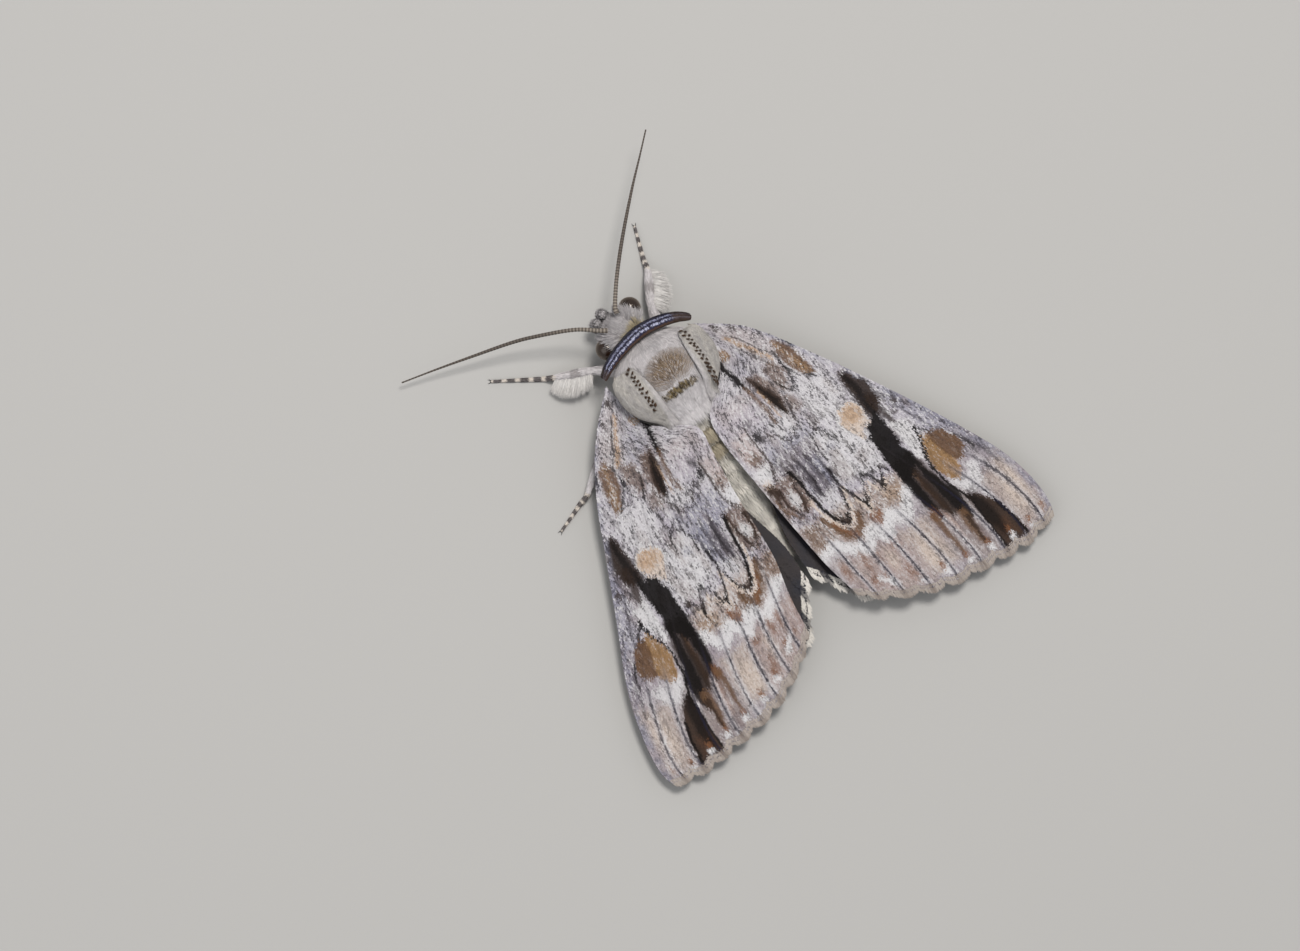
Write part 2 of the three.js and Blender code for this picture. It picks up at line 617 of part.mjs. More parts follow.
// The flap follows the thorax and flares over the wing's root.
function tegula() {
  const steps = 10;
  const rings = [];
  for (let r = 0; r <= steps; r++) {
    const u = r / steps;
    const y = mix(TEGULA_FROM, TEGULA_TO, u);
    const narrow = 0.3 + 0.7 * Math.sin(Math.PI * Math.min(1, 0.12 + u * 0.8)) ** 0.6;
    const middle = mix(...TEGULA_ANGLES, 0.5 + 0.1 * u);
    const halfAngle = ((TEGULA_ANGLES[1] - TEGULA_ANGLES[0]) / 2) * narrow;
    const ring = [];
    for (let k = 0; k < 12; k++) {
      const a = (-2 * Math.PI * k) / 12;
      const angle = middle + halfAngle * Math.sin(a);
      const flare = TEGULA_FLARE * clamp01((middle - angle) / halfAngle + 0.4);
      const lift = GAP + 0.2 + flare + (TEGULA_THICKNESS * (1 + Math.cos(a))) / 2;
      const y0 = Math.min(y, THORAX.to - 0.4);
      const p = thoraxShape.at(y0, angle).addScaledVector(thoraxShape.normal(y0, angle), lift);
      p.y = y;
      ring.push(p);
    }
    rings.push(ring);
  }
  const flap = closedLoft(rings, middleOf(rings[0]), middleOf(rings.at(-1)));
  const fringe = [];
  for (let k = 0; k < TEGULA_FRINGE.count; k++) {
    const angle = mix(...TEGULA_ANGLES, (k + 1.4) / (TEGULA_FRINGE.count + 0.7));
    const face = thoraxShape.normal(THORAX.to - 1.6, angle);
    const root = thoraxShape.at(THORAX.to - 1.6, angle).addScaledVector(face, GAP + 0.75);
    root.y = TEGULA_TO - 0.9;
    const along = new THREE.Vector3(-0.1 + 0.1 * vary(), 1, 0.08).normalize();
    fringe.push(lock(root, along, face, TEGULA_FRINGE.length + 0.8 + 0.2 * vary(), 0.9));
  }
  return fused(flap, fringe);
}

// ---- Legs ----

// A point on the way from a to b, at a distance short of b.
function shortOf(a, b, distance) {
  const end = vec(b);
  return end.addScaledVector(vec(b).sub(vec(a)).normalize(), -distance).toArray();
}

// Where a leg leaves the thorax, clear of it.
function legRoot(leg) {
  const angle = leg.knee[0] > 0 ? LEG_ROOT_ANGLE : Math.PI - LEG_ROOT_ANGLE;
  const clear = GAP + 0.27;
  return thoraxShape.at(leg.root, angle).addScaledVector(thoraxShape.normal(leg.root, angle), clear).toArray();
}

// The long white hair that hangs from a foreleg's tibia, swept back and out.
function tibiaTuft(leg) {
  const knee = vec(leg.knee);
  const shin = vec(leg.ankle).sub(knee);
  const outward = new THREE.Vector3(...(leg.knee[0] > 0 ? [0.62, 0.78] : [-0.85, 0.45]), -0.12);
  const locks = [];
  for (let k = 0; k < LEG_TUFT.rows; k++) {
    const share = mix(0.12, 0.8, k / (LEG_TUFT.rows - 1));
    for (const tier of [0, 1]) {
      const root = knee.clone().addScaledVector(shin, share).add(new THREE.Vector3(0, 0, 0.12 + 0.1 * tier));
      const along = outward.clone().addScaledVector(shin.clone().normalize(), 0.35 * share + 0.12 * vary());
      along.z += 0.16 * tier;
      const length = LEG_TUFT.length * (0.75 + 0.35 * Math.sin(Math.PI * share) - 0.2 * tier);
      locks.push(lock(root, along.normalize(), new THREE.Vector3(0, 0, 1), length, LEG_TUFT.width, -0.08));
    }
  }
  return locks;
}

function legParts(leg, tufted) {
  const start = legRoot(leg);
  const towardsToe = vec(leg.toe.concat(0)).sub(vec(leg.ankle)).setZ(0).normalize();
  const heelHeight = TARSUS_RADIUS[0] * 0.7;
  const heel = vec(leg.ankle).addScaledVector(towardsToe, 1.2).setZ(heelHeight).toArray();
  const toe = [...leg.toe, TARSUS_RADIUS[2] * 0.7];
  const step = vec(heel).sub(vec(leg.ankle)).normalize();
  const ankle = vec(leg.ankle).addScaledVector(step, GAP + 0.15).toArray();
  const joint = (u) => 1 - 0.16 * Math.abs(Math.sin(Math.PI * TARSUS_JOINTS * u));
  const knee = shortOf(start, leg.knee, TIBIA_RADIUS[0] + GAP * 0.6);
  const tibia = tubeGeometry([leg.knee, leg.ankle], TIBIA_RADIUS, LEG_SIDES, 5);
  return {
    femur: tubeGeometry([start, knee], FEMUR_RADIUS, LEG_SIDES, 5),
    tibia: tufted ? fused(tibia, tibiaTuft(leg)) : tibia,
    tarsus: tubeGeometry([ankle, heel, toe], TARSUS_RADIUS, LEG_SIDES, TARSUS_JOINTS * 2, 0, joint),
  };
}

// ---- Assembly ----

const moth = new THREE.Group();

function addNode(name, geometry, finish) {
  const mesh = new THREE.Mesh(geometry, FINISHES[finish]);
  mesh.name = name;
  moth.add(mesh);
}

addNode("thorax", thorax(), "fur");
addNode("abdomen", abdomen(), "fur");
addNode("head", turnedWithHead(head()), "fur");
addNode("collar", collar(), "collar");

const hindwingLeft = hindwing();
const tegulaLeft = tegula();
const palpLeft = tubeGeometry(PALP, PALP_RADIUS, 8, 8);
const pairs = [["left", (geometry) => geometry], ["right", mirrored]];
for (const [side, onSide] of pairs) {
  addNode("eye_" + side, turnedWithHead(eye(side === "left" ? 1 : -1)), "eye");
  addNode("palp_" + side, turnedWithHead(onSide(palpLeft)), "fur");
  addNode("tegula_" + side, onSide(tegulaLeft), "fur");
  addNode("forewing_" + side, onSide(forewing(FOREWINGS[side])), "forewing");
  addNode("hindwing_" + side, onSide(hindwingLeft), "hindwing");
}
addNode("antenna_left", tubeGeometry(ANTENNA_LEFT, ANTENNA_RADIUS, 6, 22), "limb");
addNode("antenna_right", tubeGeometry(ANTENNA_RIGHT, ANTENNA_RADIUS, 6, 22), "limb");

for (const [legName, leg] of Object.entries(LEGS)) {
  const joints = legParts(leg, legName.startsWith("foreleg"));
  for (const [joint, geometry] of Object.entries(joints)) addNode(legName + "_" + joint, geometry, "limb");
}

// The origin is at the middle of the box's floor.
const box = new THREE.Box3().setFromObject(moth);
const centre = box.getCenter(new THREE.Vector3());
moth.position.set(-centre.x, -centre.y, -box.min.z);

const part = new THREE.Group();
part.add(moth);
export default part;
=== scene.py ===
import math

import bpy
import numpy as np
from mathutils import Matrix, Vector


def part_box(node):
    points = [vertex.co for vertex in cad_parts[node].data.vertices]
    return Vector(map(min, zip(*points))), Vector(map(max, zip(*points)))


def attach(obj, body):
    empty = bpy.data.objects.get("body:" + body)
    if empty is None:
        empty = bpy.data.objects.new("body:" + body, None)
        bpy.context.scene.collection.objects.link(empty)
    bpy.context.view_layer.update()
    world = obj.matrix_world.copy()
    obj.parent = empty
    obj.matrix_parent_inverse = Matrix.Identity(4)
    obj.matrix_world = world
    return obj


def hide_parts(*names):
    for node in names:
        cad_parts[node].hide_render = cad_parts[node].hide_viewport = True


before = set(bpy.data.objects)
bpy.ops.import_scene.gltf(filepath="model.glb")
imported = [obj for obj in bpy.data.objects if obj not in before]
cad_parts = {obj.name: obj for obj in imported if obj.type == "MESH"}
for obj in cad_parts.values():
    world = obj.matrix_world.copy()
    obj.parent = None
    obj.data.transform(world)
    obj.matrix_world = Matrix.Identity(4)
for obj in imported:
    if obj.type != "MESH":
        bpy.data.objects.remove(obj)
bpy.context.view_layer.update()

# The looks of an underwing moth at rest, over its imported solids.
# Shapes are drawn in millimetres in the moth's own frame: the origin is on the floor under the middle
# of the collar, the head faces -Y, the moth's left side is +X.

MM = 0.001
UP = np.array([0, 0, 1.0])
SIDES = [("left", 1), ("right", -1)]

HEAD_TURN = 0.436  # radians that the head, its eyes and its palps turn to the moth's left
NECK = np.array([0, -1.0, 0])  # the place they turn about


def turned_with_head(points):
    """Points drawn for a head that looks straight ahead, turned as it is held."""
    x, y, z = np.moveaxis(np.asarray(points, float) - NECK, -1, 0)
    cosine, sine = math.cos(HEAD_TURN), math.sin(HEAD_TURN)
    return np.stack([x * cosine - y * sine, x * sine + y * cosine, z], -1) + NECK


EYE_CENTRE = np.array([2.38, -3.3, 4.4])
EYE_RADIUS = 1.2
eye_low, eye_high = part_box("eye_left")
ORIGIN = (np.array(eye_low) + np.array(eye_high)) / 2 - turned_with_head(EYE_CENTRE) * MM

# ---- Colours, as seen ----


def tint(red, green, blue):
    """A colour given by its 0 to 255 values on screen, as linear light."""
    share = np.array([red, green, blue]) / 255
    return np.where(share <= 0.04045, share / 12.92, ((share + 0.055) / 1.055) ** 2.4)


LILAC = tint(190, 182, 194)
PALE = tint(222, 217, 222)
WHITE = tint(240, 237, 238)
WARM = tint(206, 188, 176)
PINK = tint(208, 184, 174)
BLACK = tint(20, 15, 14)
UMBER = tint(52, 38, 30)
BROWN = tint(116, 86, 62)
RUST = tint(138, 92, 62)
OCHRE = tint(164, 128, 88)
TAN = tint(204, 170, 138)
CREAM = tint(232, 214, 200)
NIGHT = tint(26, 26, 38)
GREY = tint(146, 142, 142)
SMOKE = tint(146, 146, 164)
MAUVE = tint(198, 182, 192)
INK = tint(44, 42, 64)
DUST = tint(58, 52, 58)
FUR_PALE = tint(206, 200, 200)
FUR_DARK = tint(92, 88, 90)

# ---- Small tools ----


def mix(a, b, share):
    return a + (b - a) * share


def smooth(x):
    x = np.clip(x, 0, 1)
    return x * x * (3 - 2 * x)


def unit(v):
    return v / np.maximum(np.linalg.norm(v, axis=-1, keepdims=True), 1e-9)


def metres(points):
    return np.asarray(points) * MM + ORIGIN


def paired(p, q):
    """Two numbers or arrays as arrays of one shape."""
    return np.broadcast_arrays(np.asarray(p, float), np.asarray(q, float))


def through(knots, x):
    """A smooth function through (place, value) knots, level beyond both ends."""
    place, value = np.array(knots, float).T
    slope = np.zeros(len(place))
    slope[1:-1] = (value[2:] - value[:-2]) / (place[2:] - place[:-2])
    x = np.clip(x, place[0], place[-1])
    i = np.clip(np.searchsorted(place, x, side="right") - 1, 0, len(place) - 2)
    span = place[i + 1] - place[i]
    u = (x - place[i]) / span
    rise = slope[i] * (u**3 - 2 * u**2 + u) + slope[i + 1] * (u**3 - u**2)
    return value[i] * (2 * u**3 - 3 * u**2 + 1) + value[i + 1] * (3 * u**2 - 2 * u**3) + span * rise


class Path:
    """A smooth line through points, read by the share of its length."""

    def __init__(self, points, steps=24):
        p = np.array(points, float)
        padded = np.vstack([2 * p[0] - p[1], p, 2 * p[-1] - p[-2]])
        u = np.linspace(0, 1, steps, endpoint=False)[:, None]
        pieces = []
        for a, b, c, d in zip(padded, padded[1:], padded[2:], padded[3:]):
            pieces.append(b + (c - a) * u / 2 + (2 * a - 5 * b + 4 * c - d) * u**2 / 2
                          + (3 * b - a - 3 * c + d) * u**3 / 2)
        self.line = np.vstack(pieces + [p[-1:]])
        steps_long = np.linalg.norm(np.diff(self.line, axis=0), axis=1)
        travelled = np.concatenate([[0], np.cumsum(steps_long)])
        self.length = travelled[-1]
        self.share = travelled / self.length
        self.knots = self.share[::steps]

    def at(self, s):
        return np.stack([np.interp(s, self.share, column) for column in self.line.T], -1)

    def along(self, s):
        return unit(self.at(np.minimum(s + 0.004, 1)) - self.at(np.maximum(s - 0.004, 0)))


def noise(points, size, seed):
    """Smooth noise between -1 and 1 over points in millimetres, with features of a given size."""
    q = np.asarray(points, float) / size
    cell = np.floor(q).astype(np.int64)
    f = q - cell
    f = f * f * (3 - 2 * f)
    total = np.zeros(len(q))
    for corner in range(2 ** q.shape[1]):
        key = np.full(len(q), seed * 7919 + 17, np.int64)
        weight = np.ones(len(q))
        for axis in range(q.shape[1]):
            far = (corner >> axis) & 1
            key = (key * 73856093 + (cell[:, axis] + far) * 19349663) & 0x7FFFFFFF
            key = (key ^ (key >> 13)) * 1274126177 & 0x7FFFFFFF
            weight *= f[:, axis] if far else 1 - f[:, axis]
        total += weight * ((key >> 7) & 0xFFFF) / 0xFFFF
    return total * 2 - 1


def outward(points, faces):
    """The faces of closed bodies, turned round if they face inwards."""
    a, b, c = points[faces[:, 0]], points[faces[:, 1]], points[faces[:, 2]]
    volume = np.einsum("ij,ij->i", a - points[0], np.cross(b - points[0], c - points[0])).sum()
    return faces if volume > 0 else faces[:, ::-1]


def make_piece(name, part, material, nodes=()):
    """A mesh piece from points, triangles, a colour at each point and, for a coat, its tufts' unwrap."""
    points, faces, colours, *places = part
    mesh = bpy.data.meshes.new(name)
    mesh.from_pydata(metres(points), [], outward(points, faces))
    colour = mesh.color_attributes.new("Tint", "FLOAT_COLOR", "POINT")
    opaque = np.column_stack([colours, np.ones(len(points))])
    colour.data.foreach_set("color", opaque.astype(np.float32).ravel())
    if places:
        corners = np.zeros(len(mesh.loops), np.int32)
        mesh.loops.foreach_get("vertex_index", corners)
        unwrap = mesh.uv_layers.new(name="OFBake")
        unwrap.data.foreach_set("uv", places[0][corners].astype(np.float32).ravel())
        mesh.shade_flat()
    else:
        mesh.shade_smooth()
    mesh.materials.append(material)
    piece = bpy.data.objects.new(name, mesh)
    bpy.context.scene.collection.objects.link(piece)
    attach(piece, "root")
    if nodes:
        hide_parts(*nodes)


# ---- Materials ----


def new_material(name):
    """A material with its nodes, the function that links them and its shader."""
    material = bpy.data.materials.new(name)
    material.use_nodes = True
    tree = material.node_tree
    return material, tree.nodes, tree.links.new, tree.nodes["Principled BSDF"]


def settle(node, values):
    """Sets constant values on a node's own sockets."""
    for socket, value in values.items():
        node.inputs[socket].default_value = value


def between(nodes, link, share, low, high):
    """The output of a node that turns a 0 to 1 share into a value from low to high."""
    span = nodes.new("ShaderNodeMapRange")
    settle(span, {"To Min": low, "To Max": high})
    link(share, span.inputs["Value"])
    return span.outputs["Result"]


def scaled_material(name, roughness, grain, bump, sheen=0.0, gloss=0.5):
    """A matt surface with the piece's own colours, mottled and roughened by fine grain (grain in mm)."""
    material, nodes, link, shader = new_material(name)
    settle(shader, {"Sheen Weight": sheen, "Sheen Roughness": 0.4, "Specular IOR Level": gloss})
    own = nodes.new("ShaderNodeVertexColor")
    own.layer_name = "Tint"
    place = nodes.new("ShaderNodeTexCoord")
    fine = nodes.new("ShaderNodeTexNoise")
    settle(fine, {"Scale": 1 / (grain * MM), "Detail": 3})
    link(place.outputs["Object"], fine.inputs["Vector"])
    strength = between(nodes, link, fine.outputs["Fac"], 0.82, 1.18)
    mottled = nodes.new("ShaderNodeMix")
    mottled.data_type = "RGBA"
    mottled.blend_type = "MULTIPLY"
    mottled.inputs["Factor"].default_value = 1
    link(own.outputs["Color"], mottled.inputs[6])
    link(strength, mottled.inputs[7])
    link(mottled.outputs[2], shader.inputs["Base Color"])
    rough = between(nodes, link, fine.outputs["Fac"], roughness - 0.1, min(1, roughness + 0.1))
    link(rough, shader.inputs["Roughness"])
    raised = nodes.new("ShaderNodeBump")
    settle(raised, {"Strength": bump, "Distance": grain * MM * 0.5})
    link(fine.outputs["Fac"], raised.inputs["Height"])
    link(raised.outputs["Normal"], shader.inputs["Normal"])
    return material


WING_SCALES = scaled_material("wing_scales", roughness=0.75, grain=0.12, bump=0.2, gloss=0.12)
WING_MEMBRANE = scaled_material("wing_membrane", roughness=0.8, grain=0.16, bump=0.5, gloss=0.12)
DARK_SCALES = scaled_material("hindwing_scales", roughness=0.6, grain=0.12, bump=0.25, gloss=0.3)
FUR = scaled_material("fur", roughness=0.78, grain=0.25, bump=0.2, sheen=0.15, gloss=0.3)
SKIN = scaled_material("skin", roughness=0.85, grain=0.2, bump=0.5, gloss=0.25)
LIMB = scaled_material("limb", roughness=0.6, grain=0.1, bump=0.4, gloss=0.4)
FRINGE = scaled_material("fringe", roughness=0.75, grain=0.15, bump=0.2, sheen=0.1, gloss=0.3)

# ---- Surfaces that carry a coat: at(p, q) in millimetres, p along and q round ----


class Surface:
    step = 0.03

    def normal(self, p, q):
        along = self.at(p + self.step, q) - self.at(p - self.step, q)
        round_it = self.at(p, q + self.step) - self.at(p, q - self.step)
        return unit(np.cross(along, round_it))


class Body(Surface):
    """A loft along Y with an egg-shaped section, p tailward in mm, q up from the left side in radians."""

    def __init__(self, start, end, half, top, under, swell=None):
        self.start, self.end = start, end
        self.half, self.top, self.under, self.swell = half, top, under, swell

    def at(self, y, a):
        y, a = paired(y, a)
        top = through(self.top, y)
        under = through(self.under, y)
        middle = mix(under, top, 0.46)
        reach = np.where(np.sin(a) > 0, top - middle, middle - under)
        size = self.swell(y) if self.swell else 1
        return np.stack([np.cos(a) * through(self.half, y) * size, y, middle + np.sin(a) * reach * size], -1)


class Tube(Surface):
    """A round tapered limb along a path, p along it in mm, q round it in radians."""

    def __init__(self, points, radius, floor=0.0):
        self.path = Path(points)
        self.start, self.end = 0.0, self.path.length
        self.radius, self.floor = radius, floor

    def at(self, p, q):
        p, q = paired(p, q)
        share = np.clip(p / self.path.length, 0, 1)
        along = self.path.along(share)
        side = unit(np.stack([along[..., 1], -along[..., 0], np.zeros(p.shape)], -1))
        up = np.cross(side, along)
        size = self.radius(share)[..., None]
        centre = self.path.at(share)
        out = centre + (side * np.cos(q)[..., None] + up * np.sin(q)[..., None]) * size
        out[..., 2] = np.maximum(out[..., 2], self.floor)
        return out


def loft_mesh(surface, rows, sides, height):
    """Points and triangles of a surface moved out by a height, closed by a point at each end."""
    p = np.linspace(surface.start, surface.end, rows)
    q = np.arange(sides) * 2 * math.pi / sides
    pp, qq = np.meshgrid(p, q, indexing="ij")
    skin = surface.at(pp, qq) + surface.normal(pp, qq) * height
    points = np.vstack([skin.reshape(-1, 3), skin[0].mean(0), skin[-1].mean(0)])
    r, k = np.meshgrid(np.arange(rows - 1), np.arange(sides), indexing="ij")
    a = (r * sides + k).ravel()
    b = (r * sides + (k + 1) % sides).ravel()
    faces = [np.column_stack([a, b, a + sides]), np.column_stack([b, b + sides, a + sides])]
    k = np.arange(sides)
    last = (rows - 1) * sides
    faces.append(np.column_stack([np.full(sides, len(points) - 2), (k + 1) % sides, k]))
    faces.append(np.column_stack([np.full(sides, len(points) - 1), last + k, last + (k + 1) % sides]))
    return points, np.vstack(faces)


# ---- Locks: closed tapered blades with a three-cornered section ----


def blades(centres, sides, ups, widths, thick):
    """Closed blades. Centres are (blades, stations, 3), widths are (blades, stations).

    Sides and ups are given for each station, or once for each blade, as (blades, 1, 3).
    """
    count, stations = centres.shape[:2]
    half = (widths / 2)[..., None]
    body = np.stack([centres - sides * half, centres + sides * half, centres + ups * thick * half], 2)
    body = body[:, :-1].reshape(count, -1, 3)
    points = np.concatenate([body, centres[:, -1:]], 1)
    faces = [(0, 2, 1)]
    for k in range(stations - 2):
        for j in range(3):
            a, b = 3 * k + j, 3 * k + (j + 1) % 3
            faces += [(a, b, a + 3), (b, b + 3, a + 3)]
    tip = 3 * (stations - 1)
    for j in range(3):
        faces.append((tip - 3 + j, tip - 3 + (j + 1) % 3, tip))
    faces = np.array(faces)[None] + np.arange(count)[:, None, None] * (tip + 1)
    return points.reshape(-1, 3), faces.reshape(-1, 3), tip + 1


def blade_colours(root_tint, tip_tint, stations):
    """A colour for each corner of each blade, from its root's to its tip's."""
    shade = np.append(np.repeat(stations[:-1], 3), 1.0)[None, :, None]
    return mix(root_tint[:, None], tip_tint[:, None], shade).reshape(-1, 3)


PATCH_SIZE = 0.003  # of a tuft on the unwrap, whose side is 1


def patch_places(u, v, corners):
    """The unwrap of tufts: each is a small patch at its root's place on the unwrap of the skin."""
    turn = np.arange(corners) * 2 * math.pi / corners
    ring = np.stack([np.cos(turn), np.sin(turn)], -1) * PATCH_SIZE / 2
    roots = np.stack([np.clip(u, 0.01, 0.99), np.clip(v, 0.01, 0.99)], -1)
    return (roots[:, None] + ring[None]).reshape(-1, 2)


LOCK_STATIONS = np.array([0.0, 0.45, 1.0])  # shares of a lock's length
LOCK_WIDTHS = np.array([0.8, 1.0, 0.0])  # shares of its width there
LOCK_CORNERS = 7
LOCK_THICKNESS = 0.5  # share of its width


def coat(surface, p, q, run, turn, rise, width, root_tint, tip_tint, sink=0.3):
    """Locks rooted at (p, q) under a surface, lying along it by run in p and turn in q, their tips risen.

    Run, turn, rise and width are one value for all locks, or one for each.
    """
    f = LOCK_STATIONS
    run, turn, rise, width = [np.broadcast_to(each, p.shape)[:, None] for each in (run, turn, rise, width)]
    pp = p[:, None] + run * f
    qq = q[:, None] + turn * f
    face = surface.normal(pp, qq)
    height = -sink + (rise + sink) * np.sin(f * math.pi / 2) ** 0.8
    centres = surface.at(pp, qq) + face * height[..., None]
    forward = unit(np.diff(centres, axis=1))
    forward = np.concatenate([forward, forward[:, -1:]], 1)
    sides = unit(np.cross(forward, face))
    ups = np.cross(sides, forward)
    points, faces, corners = blades(centres, sides, ups, width * LOCK_WIDTHS, LOCK_THICKNESS)
    colours = blade_colours(root_tint, tip_tint, LOCK_STATIONS)
    span = surface.end - surface.start
    places = patch_places((q / (2 * math.pi)) % 1, (p - surface.start) / span, corners)
    return points, faces, colours, places


def together(parts):
    """Several sets of points, triangles and what goes with each point, as one."""
    points, faces, *others = zip(*parts)
    first = np.cumsum([0] + [len(each) for each in points[:-1]])
    faces = [own + start for own, start in zip(faces, first)]
    return (np.vstack(points), np.vstack(faces), *[np.vstack(other) for other in others])


def all_outward(parts):
    """Closed bodies as one, each with its faces turned outwards."""
    return together([(points, outward(points, faces), *others) for points, faces, *others in parts])


def in_halves(part, corners):
    """A coat as two coats, its closed pieces with a given number of corners kept whole."""
    points, faces, colours, places = part
    middle = len(points) // corners // 2 * corners
    first = faces[:, 0] < middle
    return [(points[:middle], faces[first], colours[:middle], places[:middle]),
            (points[middle:], faces[~first] - middle, colours[middle:], places[middle:])]


def on_side(part, side):
    """A part of the moth's left half (side 1), or its mirror image on the right (side -1)."""
    points, faces, *others = part
    return (points * [side, 1, 1], faces[:, ::side], *others)


def with_head(part):
    """A part of a head that looks straight ahead, turned as the head is held."""
    return (turned_with_head(part[0]), *part[1:])


# ---- Wings ----

FOREWING_OUTLINES = {
    "left": dict(
        costa=[(5.5, 0.9), (9.7, 4.9), (13.0, 9.7), (15.7, 15.0), (18.8, 21.1), (21.4, 26.1), (23.1, 30.7),
               (23.95, 35.2)],
        apex=(23.4, 38.0),
        margin=[(20.0, 38.7), (15.3, 38.4), (10.6, 37.7), (7.0, 36.0), (4.9, 34.5)],
        tornus=(3.6, 33.1),
        inner=[(5.15, 4.2), (4.6, 6.6), (2.3, 8.3), (0.75, 9.9), (1.1, 12.9), (1.6, 17.6), (2.05, 24.4),
               (3.0, 28.8)],
    ),
    "right": dict(
        costa=[(5.5, 0.9), (9.9, 4.3), (13.9, 10.1), (17.1, 15.6), (20.2, 21.4), (22.9, 26.9), (24.6, 31.2),
               (25.3, 35.6)],
        apex=(24.8, 39.1),
        margin=[(21.2, 40.0), (15.9, 39.3), (11.2, 38.4), (7.2, 36.6), (4.5, 34.8)],
        tornus=(2.8, 32.9),
        inner=[(5.15, 4.2), (4.6, 6.6), (2.3, 8.3), (0.7, 9.9), (0.4, 12.6), (0.7, 17.4), (1.35, 24.0),
               (1.9, 28.7)],
    ),
}
HINDWING_OUTLINE = dict(
    costa=[(4.8, 5.7), (9.6, 10.2), (13.4, 16.5), (15.6, 23.0), (15.4, 28.5)],
    apex=(13.6, 32.6),
    margin=[(10.2, 34.4), (6.6, 34.9), (3.6, 34.2), (1.95, 31.4)],
    tornus=(0.3, 28.6),
    inner=[(3.75, 7.4), (4.4, 10.0), (4.4, 12.4), (3.5, 15.6), (1.75, 18.4), (1.0, 21.2), (0.35, 24.4)],
)
HIND_DROP = 1.35  # how far the hindwings lie under the roof
# The roof that the folded wings make: its half width, and its height at the middle and at the edge.
ROOF_REACH = [(0.9, 5.5), (4.6, 9.8), (9.9, 13.45), (15.3, 16.4), (21.2, 19.5), (26.5, 22.15), (31.0, 23.85),
              (35.4, 24.6)]
ROOF_MIDLINE = [(0, 5.2), (5, 6.1), (9, 6.5), (14, 6.25), (20, 5.5), (28, 4.5), (34, 3.7), (41, 2.9)]
ROOF_EDGE = [(0, 4.45), (4, 3.8), (10, 2.8), (20, 2.2), (30, 1.9), (41, 1.75)]
ROOF_FALL = 1.3  # above 1, the roof is rounded along its middle
# Veins: where each lies across the wing at its root and at the margin, and where along it it begins.
FORE_VEINS = [(0.13, 0.11, 0), (0.29, 0.23, 0.34), (0.38, 0.355, 0), (0.47, 0.48, 0.47), (0.56, 0.603, 0.47),
              (0.65, 0.722, 0.47), (0.74, 0.833, 0), (0.83, 0.935, 0.5)]
FORE_NOTCHES = [0.06, 0.165, 0.295, 0.415, 0.54, 0.665, 0.78, 0.885]  # between the lobes of the margin
HIND_VEINS = [(0.16, 0.12, 0), (0.32, 0.28, 0), (0.48, 0.46, 0), (0.64, 0.64, 0), (0.8, 0.82, 0)]
HIND_NOTCHES = [0.12, 0.28, 0.46, 0.64, 0.82]
VEIN_HEIGHT = 0.16  # mm, at the root
VEIN_REACH = 0.22  # mm from its middle to where it has sunk to a third
WING_LENGTH = 41  # mm from root to margin
WING_BREADTH = 22  # mm from edge to edge, near the margin
# Heights against the wing's upper face, in mm.
MEMBRANE_TOP = -0.1
SCALE_ROOTS = -0.09
FRINGE_ROOTS = -0.12
MEMBRANE_END = 0.972  # share of the length where the membrane ends and the fringe begins
NOTCH = 0.012  # depth of the margin's scallops at the veins, as a share of the length


def roof(x, y):
    """Height of the roof that the folded wings make."""
    share = np.abs(x) / through(ROOF_REACH, y)
    return mix(through(ROOF_MIDLINE, y), through(ROOF_EDGE, y), share ** ROOF_FALL)


class Wing:
    """A left wing between four edges: s runs from root to margin, t from the inner margin to the costa."""

    def __init__(self, veins, notches, drop, costa, apex, margin, tornus, inner):
        self.front = Path(costa + [apex])
        self.back = Path(inner + [tornus])
        self.outer = Path([tornus] + margin[::-1] + [apex])
        self.root = np.array([inner[0], costa[0]], float)
        self.tips = np.array([tornus, apex], float)
        self.veins, self.notches, self.drop = veins, notches, drop

    def plan(self, s, t):
        s, t = paired(s, t)
        u, v = s[..., None], t[..., None]
        root = mix(self.root[0], self.root[1], v)
        corners = mix(root, mix(self.tips[0], self.tips[1], v), u)
        return mix(self.back.at(s), self.front.at(s), v) + mix(root, self.outer.at(t), u) - corners

    def chord(self, s):
        return np.linalg.norm(self.plan(s, 1.0) - self.plan(s, 0.0), axis=-1)

    def ridge(self, s, t):
        """How far the veins stand out of the membrane."""
        chord = self.chord(s)
        out = np.zeros(np.shape(s))
        for root, margin, start in self.veins:
            apart = np.abs(t - mix(root, margin, s)) * chord
            begun = smooth((s - start) / 0.05) if start else 1
            out = np.maximum(out, np.exp(-(apart / VEIN_REACH) ** 2) * begun)
        return out * VEIN_HEIGHT * (1 - 0.45 * s)

    def at(self, s, t, lift=0.0):
        """A point of the upper face, raised by lift."""
        place = self.plan(s, t)
        sunk = 0.05 * smooth(s * 8)
        height = roof(place[..., 0], place[..., 1]) - self.drop + 0.2 * (1 - 0.45 * s**4)
        pleat = 0.05 * np.sin(t * 34) * s
        return np.concatenate([place, (height + self.ridge(s, t) + pleat - sunk + lift)[..., None]], -1)


FOREWINGS = {
    name: Wing(FORE_VEINS, FORE_NOTCHES, 0, **outline) for name, outline in FOREWING_OUTLINES.items()
}
HINDWING = Wing(HIND_VEINS, HIND_NOTCHES, HIND_DROP, **HINDWING_OUTLINE)


